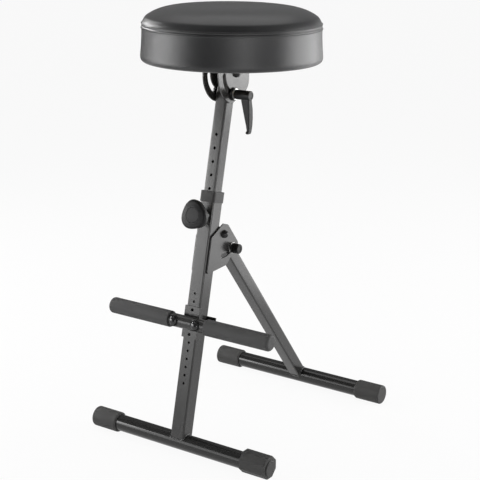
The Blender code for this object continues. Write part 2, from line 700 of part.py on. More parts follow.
BUSH_BACK = OUTER_SIDE / 2 + GAP
BUSH_END = BUSH_BACK + BUSH_LENGTH
SPINDLE_BORE = SPINDLE_RADIUS + GAP
COLLAR_BACK = BUSH_BACK + GAP
COLLAR_FRONT = COLLAR_BACK + SPINDLE_COLLAR
PIN_TIP = INNER_SIDE / 2 + GAP
KNOB_BACK = BUSH_END + GAP
SPINDLE_END = KNOB_BACK + SPINDLE_HOLD

BUSH_PROFILE = [
    (BUSH_RADIUS, BUSH_END),
    (BUSH_RADIUS, BUSH_BACK),
    (BUSH_RADIUS - BUSH_WALL, BUSH_BACK),
    (BUSH_RADIUS - BUSH_WALL, BUSH_END - BUSH_FRONT),
    (SPINDLE_BORE, BUSH_END - BUSH_FRONT),
    (SPINDLE_BORE, BUSH_END),
]
fit(turned("pin_bush", BUSH_PROFILE, HUB_STEPS), pin_axis, POWDER_COAT, turn=TO_FRONT)

SPINDLE_PROFILE = [
    (0.0, SPINDLE_END),
    (SPINDLE_RADIUS, SPINDLE_END),
    (SPINDLE_RADIUS, COLLAR_FRONT),
    (SPINDLE_COLLAR_RADIUS, COLLAR_FRONT),
    (SPINDLE_COLLAR_RADIUS, COLLAR_BACK),
    (PIN_TIP_RADIUS, COLLAR_BACK),
    (PIN_TIP_RADIUS, PIN_TIP),
    (0.0, PIN_TIP),
]
fit(turned("pin_spindle", SPINDLE_PROFILE, SMALL_STEPS), pin_axis, ZINC, turn=TO_FRONT)


def pin_spring():
    """A coil round the spindle, between its collar and the bush's front wall."""
    reach = (SPINDLE_BORE + BUSH_RADIUS - BUSH_WALL) / 2
    start = COLLAR_FRONT + GAP + SPRING_WIRE_RADIUS
    end = BUSH_END - BUSH_FRONT - GAP - SPRING_WIRE_RADIUS
    count = SPRING_TURN_POINTS * SPRING_TURNS
    coil = bpy.data.curves.new("pin_spring", 'CURVE')
    coil.dimensions = '3D'
    coil.bevel_depth = SPRING_WIRE_RADIUS
    coil.bevel_resolution = 1
    coil.use_fill_caps = True
    spline = coil.splines.new('POLY')
    spline.points.add(count)
    for index, point in enumerate(spline.points):
        angle = 2 * pi * SPRING_TURNS * index / count
        height = start + (end - start) * index / count
        point.co = (reach * cos(angle), reach * sin(angle), height, 1.0)
    middles = [Vector(point.co[:3]) for point in spline.points]
    apart = min((far - near).length for near, far in zip(middles, middles[SPRING_TURN_POINTS:]))
    print("least gap between the spring's turns:", apart - 2 * SPRING_WIRE_RADIUS)
    fit(bpy.data.objects.new("pin_spring", coil), pin_axis, ZINC, turn=TO_FRONT)


pin_spring()


def height_knob():
    """A round-topped knob whose sides swell into three lobes, one of them at the top."""
    rim = KNOB_BACK + KNOB_RIM
    angles = [pi / 2 * step / CROWN_STEPS for step in range(CROWN_STEPS + 1)]
    crown = [(KNOB_RADIUS * sin(angle), rim + (KNOB_LENGTH - KNOB_RIM) * cos(angle)) for angle in angles]
    back = [(KNOB_RADIUS - inward, rim - behind) for inward, behind in KNOB_FLANKS]
    back.append((KNOB_BACK_RADIUS, KNOB_BACK))
    socket = [(SPINDLE_BORE, KNOB_BACK), (SPINDLE_BORE, SPINDLE_END + GAP), (0.0, SPINDLE_END + GAP)]
    shape = bmesh.new()
    points = [shape.verts.new((radius, 0.0, height)) for radius, height in crown + back + socket]
    edges = [shape.edges.new(pair) for pair in zip(points, points[1:])]
    bmesh.ops.spin(shape, geom=points + edges, axis=(0.0, 0.0, 1.0), cent=(0.0, 0.0, 0.0), angle=2 * pi,
                   steps=KNOB_STEPS)
    bmesh.ops.remove_doubles(shape, verts=shape.verts, dist=MERGE)
    for point in shape.verts:
        radius = hypot(point.co.x, point.co.y)
        lobe = cos(KNOB_LOBES * atan2(point.co.x, point.co.y))
        swell = 1.0 + KNOB_LOBE_SHARE * lobe * (radius / KNOB_RADIUS) ** 2
        point.co.x *= swell
        point.co.y *= swell
    bmesh.ops.recalc_face_normals(shape, faces=shape.faces)
    fit(shape_object("height_knob", shape), pin_axis, BLACK_PLASTIC, turn=TO_FRONT)


height_knob()


# Footrest: a round tube with two grips, held on a channel by two bolts that pass beside the outer tube to a
# clamp plate behind it

FOOTREST_DEPTH = OUTER_SIDE / 2 + GAP + CHANNEL_FLOOR + GAP + FOOTREST_TUBE_RADIUS
GRIP_PLACE = FOOTREST_LENGTH / 2 - GRIP_LENGTH
FOOTREST_LINE = (FOOTREST_SHIFT, -FOOTREST_DEPTH, 0.0)

footrest_tube = tube_ring("footrest_tube", FOOTREST_TUBE_RADIUS, FOOTREST_TUBE_RADIUS - FOOTREST_TUBE_WALL,
                          FOOTREST_LENGTH - 2 * (GRIP_END + GAP))
fit(footrest_tube, footrest_axis, POWDER_COAT, FOOTREST_LINE, TO_RIGHT)
BOLT_PLACES = [(side, -FOOTREST_DEPTH, 0.0) for side in CLAMP_BOLT_SIDES]
cut(footrest_tube, pegs("footrest_bolt_holes", BOLT_PLACES, M6_RADIUS + GAP,
                        2 * (FOOTREST_TUBE_RADIUS + OVERCUT), TO_FRONT))


def footrest_grip(name, side):
    """A foam sleeve with a closed round end."""
    bore = FOOTREST_TUBE_RADIUS + GAP
    end = arc((GRIP_RADIUS - GRIP_ROUND, GRIP_LENGTH - GRIP_ROUND), GRIP_ROUND, pi / 2, 0.0, EDGE_STEPS)
    start = arc((GRIP_RADIUS - GRIP_LIP, GRIP_LIP), GRIP_LIP, 0.0, -pi / 2, CORNER_STEPS)
    inside = GRIP_LENGTH - GRIP_END
    profile = [(0.0, GRIP_LENGTH), *end, *start, (bore, 0.0), (bore, inside), (0.0, inside)]
    turn = TO_RIGHT if side > 0 else TO_LEFT
    place = (FOOTREST_SHIFT + side * GRIP_PLACE, -FOOTREST_DEPTH, 0.0)
    fit(turned(name, profile), footrest_axis, GREY_RUBBER, place, turn)


footrest_grip("footrest_grip_left", -1)
footrest_grip("footrest_grip_right", 1)


def footrest_channel():
    """A folded channel round the outer tube's front, hollowed where the footrest tube lies on it."""
    inner = OUTER_SIDE / 2 + GAP
    outer = inner + CHANNEL_THICKNESS
    back = -inner + CHANNEL_FLANGE
    outline = [(-outer, back), (-outer, -outer), (outer, -outer), (outer, back), (inner, back),
               (inner, -inner), (-inner, -inner), (-inner, back)]
    body = flat("footrest_channel", [outline], 2 * CHANNEL_REACH)
    fit(body, footrest_axis, POWDER_COAT)
    saddle = pegs("channel_saddle", [FOOTREST_LINE], FOOTREST_TUBE_RADIUS + GAP, FOOTREST_LENGTH, TO_RIGHT,
                  ROUND_STEPS)
    cut(body, saddle)
    middle = -inner - CHANNEL_THICKNESS / 2
    holes = [(0.0, middle, STEP_HEIGHTS[index] - FOOTREST_HEIGHT) for index in CHANNEL_HOLES]
    cut(body, pegs("channel_holes", holes, CHANNEL_HOLE_RADIUS, CHANNEL_THICKNESS + 2 * GAP, TO_FRONT))


footrest_channel()

CLAMP_PLATE_FRONT = OUTER_SIDE / 2 + GAP
CLAMP_PLATE_BACK = CLAMP_PLATE_FRONT + CLAMP_PLATE_THICKNESS
CLAMP_PLATE_LEFT = CLAMP_BOLT_SIDES[0] - CLAMP_PLATE_EDGE
CLAMP_PLATE_RIGHT = CLAMP_BOLT_SIDES[1] + CLAMP_PLATE_EDGE
clamp_plate = block("footrest_clamp_plate", (CLAMP_PLATE_LEFT, CLAMP_PLATE_FRONT, -CLAMP_PLATE_HALF),
                    (CLAMP_PLATE_RIGHT, CLAMP_PLATE_BACK, CLAMP_PLATE_HALF))
fit(clamp_plate, footrest_axis, POWDER_COAT)
CLAMP_PLATE_MIDDLE = (CLAMP_PLATE_FRONT + CLAMP_PLATE_BACK) / 2
cut(clamp_plate, pegs("clamp_plate_holes", [(side, CLAMP_PLATE_MIDDLE, 0.0) for side in CLAMP_BOLT_SIDES],
                      M6_RADIUS + GAP, CLAMP_PLATE_THICKNESS + 2 * OVERCUT, TO_FRONT))


def footrest_bolt(word, side):
    """A bolt with a domed head that saddles the footrest tube, and its nut behind the clamp plate."""
    crest = FOOTREST_DEPTH + FOOTREST_TUBE_RADIUS
    head_back = crest - CLAMP_DOME_SKIRT
    profile = dome(CLAMP_DOME_RADIUS, CLAMP_DOME_HEIGHT, crest)
    profile += [(CLAMP_DOME_RADIUS, head_back), (0.0, head_back)]
    head = turned("footrest_bolt_" + word, profile, HUB_STEPS)
    fit(head, footrest_axis, BLACK_PLASTIC, (side, 0.0, 0.0), TO_FRONT)
    cut(head, pegs("dome_saddle_" + word, [FOOTREST_LINE], FOOTREST_TUBE_RADIUS + GAP, FOOTREST_LENGTH,
                   TO_RIGHT, ROUND_STEPS))
    root = crest + CLAMP_DOME_HEIGHT / 2
    tail = -CLAMP_PLATE_BACK - GAP - M6_NUT - BOLT_END
    shank = turned("footrest_shank_" + word, [(0.0, root), (M6_RADIUS, root), (M6_RADIUS, tail), (0.0, tail)],
                   SMALL_STEPS)
    fuse(head, shank, (side, 0.0, 0.0), TO_FRONT)
    nut = hex_nut("footrest_nut_" + word, M6_FLATS, M6_NUT, M6_RADIUS + GAP)
    fit(nut, footrest_axis, ZINC, (side, CLAMP_PLATE_BACK + GAP + M6_NUT / 2, 0.0), TO_REAR)


footrest_bolt("left", CLAMP_BOLT_SIDES[0])
footrest_bolt("right", CLAMP_BOLT_SIDES[1])


# Seat bracket: a plate screwed under the seat board, with two slotted cheeks that straddle the post's head

TILT_CHEEK = INNER_SIDE / 2 + TILT_SPACER + 2 * GAP
TILT_FACE = TILT_CHEEK + BRACKET_THICKNESS
PLATE_TOP = SEAT_RISE - GAP
PLATE_BOTTOM = PLATE_TOP - BRACKET_THICKNESS
SLOT_HALF = M10_RADIUS + GAP
TILT_OUTER = TILT_SLOT_RADIUS + SLOT_HALF + TILT_RIM


def tilt_cheek_outlines():
    level = -pi / 2 - LEG_LEAN
    top = PLATE_BOTTOM + BRACKET_THICKNESS / 2
    heel = (TILT_REAR - TILT_REAR_ROUND, -TILT_REAR_DROP)
    outline = [(-TILT_OUTER, top), *arc((0.0, 0.0), TILT_OUTER, -pi, level, ARC_STEPS),
               *arc(heel, TILT_REAR_ROUND, TILT_REAR_START, 0.0, EDGE_STEPS), (TILT_REAR, top)]
    slot = arc_slot((0.0, 0.0), TILT_SLOT_RADIUS, SLOT_HALF, level, -pi / 2 - TILT_SLOT_END)
    return [outline, circle((0.0, 0.0), M8_RADIUS + GAP, HOLE_STEPS), slot]


SCREW_SIDES = (-SCREW_SPREAD, SCREW_SPREAD)
SCREW_PLACES = [(x, SEAT_SETBACK + y) for x in SCREW_SIDES for y in SCREW_SIDES]
PLATE_MIDDLE = (PLATE_TOP + PLATE_BOTTOM) / 2
bracket = block("seat_bracket", (-BRACKET_HALF, SEAT_SETBACK - BRACKET_HALF, PLATE_BOTTOM),
                (BRACKET_HALF, SEAT_SETBACK + BRACKET_HALF, PLATE_TOP))
fit(bracket, tilt_axis, POWDER_COAT)
for side, word in ((-1, "left"), (1, "right")):
    cheek = flat("tilt_cheek_" + word, tilt_cheek_outlines(), BRACKET_THICKNESS)
    fuse(bracket, cheek, (side * (TILT_CHEEK + BRACKET_THICKNESS / 2), 0.0, 0.0), UPRIGHT_PLATE)
cut(bracket, pegs("bracket_screw_holes", [(x, y, PLATE_MIDDLE) for x, y in SCREW_PLACES], SCREW_RADIUS + GAP,
                  BRACKET_THICKNESS + 2 * OVERCUT, ALONG_Z))


# Seat: a plywood board let into the underside of an upholstered foam pad

SEAT_MIDDLE = (0.0, SEAT_SETBACK, SEAT_RISE)
board = turned("seat_board", [(0.0, BOARD_THICKNESS), (BOARD_RADIUS, BOARD_THICKNESS), (BOARD_RADIUS, 0.0),
                              (0.0, 0.0)], SEAT_STEPS)
fit(board, tilt_axis, PLYWOOD, SEAT_MIDDLE)
PILOT_DEPTH = SCREW_BITE - BRACKET_THICKNESS + 2 * GAP
PILOT_MIDDLE = SEAT_RISE + (PILOT_DEPTH - OVERCUT) / 2
cut(board, pegs("board_pilot_holes", [(x, y, PILOT_MIDDLE) for x, y in SCREW_PLACES], SCREW_RADIUS + GAP,
                PILOT_DEPTH + OVERCUT, ALONG_Z))


def seat_cushion():
    """A dome that rounds down to the seam, over a side band that draws in a little between its edges."""
    crown = []
    for share in SEAT_CROWN_SHARES:
        rise = SEAT_CROWN * (1.0 - share ** CROWN_POWER) ** (1.0 / CROWN_ROUND)
        crown.append((SEAM_RADIUS * share, SEAM_HEIGHT + rise))
    band = []
    for share in SEAT_BAND_SHARES:
        drawn = SEAT_WAIST * sin(pi * share)
        radius = SEAM_RADIUS + (SEAT_RADIUS - SEAM_RADIUS) * share - drawn
        band.append((radius, SEAM_HEIGHT + (SEAT_EDGE - SEAM_HEIGHT) * share))
    hem = arc((SEAT_RADIUS - SEAT_EDGE, SEAT_EDGE), SEAT_EDGE, 0.0, -pi / 2, EDGE_STEPS)
    recess = BOARD_RADIUS + GAP
    floor = BOARD_THICKNESS + GAP
    profile = crown + band + hem + [(recess, 0.0), (recess, floor), (0.0, floor)]
    fit(turned("seat_cushion", profile, SEAT_STEPS), tilt_axis, LEATHERETTE, SEAT_MIDDLE)


seat_cushion()

for index, (x, y) in enumerate(SCREW_PLACES):
    screw = dome_bolt(f"seat_screw_{index + 1}", SCREW_HEAD_RADIUS, SCREW_HEAD, SCREW_RADIUS, SCREW_BITE,
                      HOLE_STEPS)
    fit(screw, tilt_axis, ZINC, (x, y, PLATE_BOTTOM - GAP), (pi, 0.0, 0.0))


# Tilt pivot: a round-headed bolt through the bracket and the post's head, with a spacer on each side

TILT_SHANK = 2 * (TILT_FACE + GAP) + M8_NUT + BOLT_END
fit(dome_bolt("tilt_pivot_bolt", DOME_RADIUS, DOME_HEIGHT, M8_RADIUS, TILT_SHANK), post_axis, BLACK_STEEL,
    (TILT_FACE + GAP, 0.0, TILT_PIVOT_HEIGHT), TO_RIGHT)
fit(hex_nut("tilt_pivot_nut", M8_FLATS, M8_NUT, M8_RADIUS + GAP), post_axis, BLACK_STEEL,
    (-TILT_FACE - GAP - M8_NUT / 2, 0.0, TILT_PIVOT_HEIGHT), TO_RIGHT)
for side, word in ((-1, "left"), (1, "right")):
    spacer = tube_ring("tilt_spacer_" + word, SPACER_RADIUS, M8_RADIUS + GAP, TILT_SPACER, SMALL_STEPS)
    middle = INNER_SIDE / 2 + GAP + TILT_SPACER / 2
    fit(spacer, post_axis, NYLON, (side * middle, 0.0, TILT_PIVOT_HEIGHT), TO_RIGHT)


# Tilt clamp: a bolt through both slots and the post, a spacer and a washer, and the lever that tightens it

SPACER_PLACE = TILT_FACE + GAP + CLAMP_SPACER / 2
RING_PLACE = TILT_FACE + 2 * GAP + CLAMP_SPACER + WASHER_THICKNESS / 2
HUB_BACK = TILT_FACE + 3 * GAP + CLAMP_SPACER + WASHER_THICKNESS
HUB_BITE = LEVER_HUB_LENGTH - LEVER_END
CLAMP_SHANK = TILT_FACE + HUB_BACK + HUB_BITE
fit(dome_bolt("clamp_bolt", CLAMP_SPACER_RADIUS, DOME_HEIGHT, M10_RADIUS, CLAMP_SHANK), post_axis, BLACK_STEEL,
    (-TILT_FACE - GAP, 0.0, CLAMP_HEIGHT), TO_LEFT)
fit(tube_ring("clamp_spacer", CLAMP_SPACER_RADIUS, SLOT_HALF, CLAMP_SPACER, HUB_STEPS), post_axis,
    BLACK_PLASTIC, (SPACER_PLACE, 0.0, CLAMP_HEIGHT), TO_RIGHT)
fit(tube_ring("clamp_washer", WASHER_RADIUS, SLOT_HALF, WASHER_THICKNESS, HUB_STEPS), post_axis, ZINC,
    (RING_PLACE, 0.0, CLAMP_HEIGHT), TO_RIGHT)


def clamp_lever():
    """A hub on the clamp bolt, with an arm that hangs down, thins on its inner side and hooks forward."""
    profile = [(0.0, LEVER_HUB_LENGTH), (LEVER_HUB_RADIUS - LEVER_EDGE, LEVER_HUB_LENGTH),
               (LEVER_HUB_RADIUS, LEVER_HUB_LENGTH - LEVER_EDGE), (LEVER_HUB_RADIUS, 0.0), (0.0, 0.0)]
    hub = turned("clamp_lever", profile, HUB_STEPS)
    fit(hub, clamp_axis, BLACK_PLASTIC, (HUB_BACK, 0.0, 0.0), TO_RIGHT)
    shoulder = -LEVER_HUB_RADIUS / 2
    heel = -LEVER_REACH + LEVER_HEEL
    outline = rounded([
        (LEVER_ROOT, shoulder, LEVER_ROOT_ROUND),
        (-LEVER_ROOT, shoulder, LEVER_ROOT_ROUND),
        (-LEVER_NECK, heel, LEVER_BEND),
        (-LEVER_NECK - LEVER_HOOK, -LEVER_REACH + LEVER_SLANT, LEVER_TIP_ROUND),
        (LEVER_NECK - LEVER_HOOK, -LEVER_REACH, LEVER_TIP_ROUND),
        (LEVER_NECK, heel, LEVER_BEND),
    ])
    arm = flat("lever_arm", [outline], LEVER_ARM_WIDTH)
    for point in arm.data.vertices:
        share = (point.co.y - shoulder) / (-LEVER_REACH - shoulder)
        thickness = LEVER_ARM_WIDTH + (LEVER_TIP_WIDTH - LEVER_ARM_WIDTH) * share
        if point.co.z < 0.0:
            point.co.z = LEVER_ARM_WIDTH / 2 - thickness
    soften(arm, LEVER_EDGE)
    arm_place = HUB_BACK + LEVER_HUB_LENGTH - LEVER_EDGE - LEVER_ARM_WIDTH / 2
    fuse(hub, arm, (arm_place, 0.0, 0.0), UPRIGHT_PLATE)
    depth = HUB_BITE + GAP + OVERCUT
    bore_middle = HUB_BACK - OVERCUT + depth / 2
    cut(hub, pegs("lever_bore", [(bore_middle, 0.0, 0.0)], SLOT_HALF, depth, TO_RIGHT, HUB_STEPS))


clamp_lever()
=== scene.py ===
from math import atan2, cos, hypot, pi, radians, sin, sqrt

import bmesh
import bpy
from mathutils import Euler, Matrix, Vector, noise


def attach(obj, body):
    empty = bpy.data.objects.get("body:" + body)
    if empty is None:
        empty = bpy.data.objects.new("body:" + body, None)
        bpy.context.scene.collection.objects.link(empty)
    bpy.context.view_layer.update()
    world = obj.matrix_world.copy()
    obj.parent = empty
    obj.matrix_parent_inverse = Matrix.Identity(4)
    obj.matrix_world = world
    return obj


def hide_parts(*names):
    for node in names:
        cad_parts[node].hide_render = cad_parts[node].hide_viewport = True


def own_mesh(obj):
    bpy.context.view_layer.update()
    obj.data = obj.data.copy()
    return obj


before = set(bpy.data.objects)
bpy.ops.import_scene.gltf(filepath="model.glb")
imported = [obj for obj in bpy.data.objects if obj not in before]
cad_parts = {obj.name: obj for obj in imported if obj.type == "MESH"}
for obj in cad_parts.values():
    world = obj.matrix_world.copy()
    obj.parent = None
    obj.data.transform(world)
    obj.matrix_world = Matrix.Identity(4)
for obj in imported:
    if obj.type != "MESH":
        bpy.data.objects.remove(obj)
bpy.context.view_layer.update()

# Studio: a pale floor and backdrop far past the picture, soft boxes round the stool and above it, and a low
# bounce. Dark cards show only in reflections, as a photographer's flags do. The camera is the photo's.

CAMERA_PLACE = (1.30567, -1.92959, 1.02361)
CAMERA_TURN = (1.295368, -0.009734, 0.60209)
CAMERA_LENS = 93.4337
CAMERA_SENSOR = 36.0
STUDIO_FILL = 0.26
PAPER_GLOW = 0.93
FLOOR_SIZE = 120.0
BACKDROP_RADIUS = 58.0
BACKDROP_HEIGHT = 8.0
STOOL_MIDDLE = Vector((0.0, 0.0, 0.45))

scene = bpy.context.scene
scene.view_settings.view_transform = 'Standard'

bpy.ops.object.select_all(action='DESELECT')
bpy.ops.object.camera_add(location=CAMERA_PLACE, rotation=CAMERA_TURN)
camera = bpy.context.object
camera.data.lens = CAMERA_LENS
camera.data.sensor_width = CAMERA_SENSOR
scene.camera = camera


def put(tree, kind, values=None, **settings):
    """A shader node with its settings, and with inputs that are given a value or linked from a socket."""
    made = tree.nodes.new("ShaderNode" + kind)
    for name, value in settings.items():
        setattr(made, name, value)
    for name, value in (values or {}).items():
        if isinstance(value, bpy.types.NodeSocket):
            tree.links.new(value, made.inputs[name])
        else:
            made.inputs[name].default_value = value
    return made


def blank(name):
    """A new material with its node tree and its shader."""
    made = bpy.data.materials.new(name)
    made.use_nodes = True
    return made, made.node_tree, made.node_tree.nodes["Principled BSDF"]


def seen_rays(tree):
    """One for rays that show the backdrop itself: from the camera, in gloss and through glass."""
    path = put(tree, "LightPath").outputs
    seen = put(tree, "Math", {0: path["Is Camera Ray"], 1: path["Is Glossy Ray"]}, operation='MAXIMUM')
    seen = put(tree, "Math", {0: seen.outputs[0], 1: path["Is Transmission Ray"]}, operation='MAXIMUM')
    return seen.outputs[0]


studio = bpy.data.worlds.new("studio_air")
scene.world = studio
studio.use_nodes = True
studio.node_tree.nodes["Background"].inputs["Color"].default_value = (1.0, 1.0, 1.0, 1.0)
studio.node_tree.nodes["Background"].inputs["Strength"].default_value = STUDIO_FILL

bpy.ops.mesh.primitive_plane_add(size=FLOOR_SIZE)
floor = bpy.context.object
floor.name = "studio_floor"
paper, sheet, sheet_shader = blank("floor_paper")
sheet_shader.inputs["Base Color"].default_value = (0.70, 0.70, 0.70, 1.0)
sheet_shader.inputs["Roughness"].default_value = 0.9
sheet_shader.inputs["Specular IOR Level"].default_value = 0.0
glow = put(sheet, "Emission", {"Color": (1.0, 1.0, 1.0, 1.0), "Strength": 1.0})
share = put(sheet, "Math", {0: seen_rays(sheet), 1: PAPER_GLOW}, operation='MULTIPLY')
blend = put(sheet, "MixShader", {0: share.outputs[0], 1: sheet_shader.outputs[0], 2: glow.outputs[0]})
sheet.links.new(blend.outputs[0], sheet.nodes["Material Output"].inputs["Surface"])
floor.data.materials.append(paper)

bpy.ops.mesh.primitive_cylinder_add(vertices=96, radius=BACKDROP_RADIUS, depth=BACKDROP_HEIGHT,
                                    end_fill_type='NOTHING', location=(0.0, 0.0, BACKDROP_HEIGHT / 2))
backdrop = bpy.context.object
backdrop.name = "studio_backdrop"
backdrop.data.materials.append(paper)


def soft_box(name, place, width, height, power):
    """A rectangular soft box that faces the stool's middle."""
    bpy.ops.object.light_add(type='AREA', location=place)
    lamp = bpy.context.object
    lamp.name = name
    lamp.data.shape = 'RECTANGLE'
    lamp.data.size = width
    lamp.data.size_y = height
    lamp.data.energy = power
    lamp.rotation_euler = (STOOL_MIDDLE - Vector(place)).to_track_quat('-Z', 'Y').to_euler()
    lamp.visible_camera = False
    return lamp


soft_box("right_soft_box", (1.92, 1.20, 0.85), 1.0, 1.3, 32.0)
soft_box("rear_soft_box", (1.05, 1.95, 0.66), 1.1, 0.8, 16.5)
soft_box("left_soft_box", (-1.64, -1.15, 0.63), 1.35, 0.68, 20.0)
soft_box("front_soft_box", (-1.12, -1.66, 0.50), 1.0, 0.8, 5.5)
soft_box("rim_soft_box", (-1.85, 0.06, 1.10), 0.45, 0.30, 14.0)
soft_box("high_soft_box", (-0.25, 0.30, 2.10), 1.8, 1.5, 12.0)
soft_box("camera_soft_box", (1.85, -1.55, 0.55), 0.7, 0.6, 10.0)
bounce = soft_box("floor_bounce", (0.90, 1.36, 0.004), 1.35, 1.35, 11.0)
bounce.rotation_euler = (pi, 0.0, 0.0)

felt, _, felt_shader = blank("flag_felt")
felt_shader.inputs["Base Color"].default_value = (0.08, 0.08, 0.08, 1.0)
felt_shader.inputs["Roughness"].default_value = 1.0


def flag(name, place, width, height):
    """A dark card that only reflections show."""
    bpy.ops.mesh.primitive_plane_add(size=1.0, location=place)
    card = bpy.context.object
    card.name = name
    card.scale = (width, height, 1.0)
    card.rotation_euler = (Vector((0.0, 0.0, place[2])) - Vector(place)).to_track_quat('Z', 'Y').to_euler()
    card.data.materials.append(felt)
    card.visible_camera = False
    card.visible_diffuse = False
    card.visible_shadow = False
    card.visible_transmission = False


flag("front_flag", (-0.12, -2.6, 1.0), 1.6, 2.6)
flag("rear_flag", (-1.86, 1.40, 0.40), 3.7, 1.4)
flag("top_flag", (0.95, -1.40, 2.05), 2.2, 1.2)


# Front foot bar: a round steel tube that carries the stool across its front, cut square at both ends.
# Its coat is the frame's powder coat made glossier, and painted blacker as shade on its round form: a dark
# grey with a fine orange-peel skin.

FOOT_PLACE = Vector((0.0, -0.210, 0.0195))
FOOT_RADIUS = 0.016
FOOT_BORE = 0.014
FOOT_BAR_LENGTH = 0.3984
BAR_EDGE = 0.0004
ROUND_STEPS = 72
MERGE_REACH = 0.00001
DRIFT_SCALE = 14.0
EDGE_MARK_WIDTH = 0.0012
EDGE_MARK_BREAK = 120.0
SKIN_DEPTH = 0.0002
TO_RIGHT = (0.0, pi / 2, 0.0)
TO_LEFT = (0.0, -pi / 2, 0.0)
TO_FRONT = (pi / 2, 0.0, 0.0)


def effect(name, inputs, outputs):
    """A shader node group for an effect that several finishes share."""
    tree = bpy.data.node_groups.new(name, 'ShaderNodeTree')
    for socket, value in inputs.items():
        way_in = tree.interface.new_socket(socket, in_out='INPUT', socket_type='NodeSocketFloat')
        way_in.default_value = value
    for socket in outputs:
        tree.interface.new_socket(socket, in_out='OUTPUT', socket_type='NodeSocketFloat')
    given = tree.nodes.new("NodeGroupInput").outputs
    made = tree.nodes.new("NodeGroupOutput").inputs
    return tree, given, made


def make_skin():
    """Orange peel or moulded grain: a fine height, and a slow drift for colour and roughness."""
    tree, given, made = effect("skin_grain", {"Scale": 900.0, "Drift Scale": DRIFT_SCALE},
                               ["Height", "Drift"])
    place = put(tree, "TexCoord").outputs["Object"]
    peel = put(tree, "TexNoise", {"Vector": place, "Scale": given["Scale"], "Detail": 3.0,
                                  "Roughness": 0.55})
    pits = put(tree, "TexVoronoi", {"Vector": place, "Scale": given["Scale"], "Randomness": 1.0},
               feature='SMOOTH_F1')
    height = put(tree, "Math", {0: peel.outputs["Fac"], 1: pits.outputs["Distance"]}, operation='ADD')
    drift = put(tree, "TexNoise", {"Vector": place, "Scale": given["Drift Scale"], "Detail": 4.0})
    tree.links.new(height.outputs[0], made["Height"])
    tree.links.new(drift.outputs["Fac"], made["Drift"])
    return tree


def make_edge_rub_and_highlight():
    """Paler edges, part rubbed wear and part painted highlight: where a rounded normal leaves the face's
    own, broken up by noise.
    """
    tree, given, made = effect("edge_rub_and_highlight", {"Width": EDGE_MARK_WIDTH, "Break Scale": EDGE_MARK_BREAK}, ["Mask"])
    soft = put(tree, "Bevel", {"Radius": given["Width"]}, samples=4)
    face = put(tree, "NewGeometry")
    facing = put(tree, "VectorMath", {0: soft.outputs[0], 1: face.outputs["Normal"]},
                 operation='DOT_PRODUCT')
    edge = put(tree, "MapRange", {"Value": facing.outputs["Value"], "From Min": 0.985, "From Max": 0.80})
    place = put(tree, "TexCoord").outputs["Object"]
    edge_breakup = put(tree, "TexNoise", {"Vector": place, "Scale": given["Break Scale"], "Detail": 5.0})
    broken = put(tree, "MapRange", {"Value": edge_breakup.outputs["Fac"], "From Min": 0.35, "From Max": 0.65})
    mask = put(tree, "Math", {0: edge.outputs[0], 1: broken.outputs[0]}, operation='MULTIPLY')
    tree.links.new(mask.outputs[0], made["Mask"])
    return tree


SKIN_GRAIN = make_skin()
EDGE_RUB_AND_HIGHLIGHT = make_edge_rub_and_highlight()


def use(tree, group, values):
    """A shared effect placed in a material with its own values."""
    placed = put(tree, "Group", node_tree=group)
    for socket, value in values.items():
        placed.inputs[socket].default_value = value
    return placed.outputs


def wire(tree, shader, colour, gloss, relief):
    """Link a finish's colour, gloss and relief to its shader."""
    tree.links.new(colour.outputs["Result"], shader.inputs["Base Color"])
    tree.links.new(gloss.outputs[0], shader.inputs["Roughness"])
    tree.links.new(relief.outputs[0], shader.inputs["Normal"])


def skinned(name, dark, light, rub_and_highlight_colour, rough, grain, bump, metallic=0.0, specular=0.5, rub_and_highlight_amount=0.5):
    """A coated or moulded finish: drifting tone, fine skin, and edges painted paler, part rubbed wear and
    part painted highlight.
    """
    made, tree, shader = blank(name)
    skin = use(tree, SKIN_GRAIN, {"Scale": grain, "Drift Scale": DRIFT_SCALE})
    rub_and_highlight = use(tree, EDGE_RUB_AND_HIGHLIGHT, {"Width": EDGE_MARK_WIDTH, "Break Scale": EDGE_MARK_BREAK})
    tone = put(tree, "Mix", {"Factor": skin["Drift"], "A": (*dark, 1.0), "B": (*light, 1.0)},
               data_type='RGBA')
    # Edges mix toward a paler colour: part rubbed wear, part painted highlight.
    rub_and_highlight_share = put(tree, "Math", {0: rub_and_highlight["Mask"], 1: rub_and_highlight_amount}, operation='MULTIPLY')
    colour = put(tree, "Mix", {"Factor": rub_and_highlight_share.outputs[0], "A": tone.outputs["Result"], "B": (*rub_and_highlight_colour, 1.0)},
                 data_type='RGBA')
    gloss = put(tree, "MapRange", {"Value": skin["Drift"], "From Min": 0.3, "From Max": 0.7,
                                   "To Min": rough[0], "To Max": rough[1]})
    relief = put(tree, "Bump", {"Strength": bump, "Distance": SKIN_DEPTH, "Height": skin["Height"]})
    wire(tree, shader, colour, gloss, relief)
    shader.inputs["Metallic"].default_value = metallic
    shader.inputs["Specular IOR Level"].default_value = specular
    return made


POWDER_COAT = skinned("powder_coat", (0.018, 0.0175, 0.017), (0.026, 0.0255, 0.025), (0.10, 0.098, 0.096),
                      (0.20, 0.28), 1100.0, 0.12)
# The foot bars' coat: the frame's powder coat, darker with painted shade, and glossier.
SHADED_BAR_COAT = skinned("bar_coat_painted_shade", (0.010, 0.010, 0.010), (0.016, 0.0155, 0.015), (0.08, 0.078, 0.076),
                    (0.13, 0.19), 1100.0, 0.05, specular=0.44)


def clear():
    """Deselect everything, in object mode."""
    if bpy.context.mode != 'OBJECT':
        bpy.ops.object.mode_set(mode='OBJECT')
    bpy.ops.object.select_all(action='DESELECT')


def only(piece):
    """Select one piece and nothing else, in object mode."""
    clear()
    piece.select_set(True)
    bpy.context.view_layer.objects.active = piece


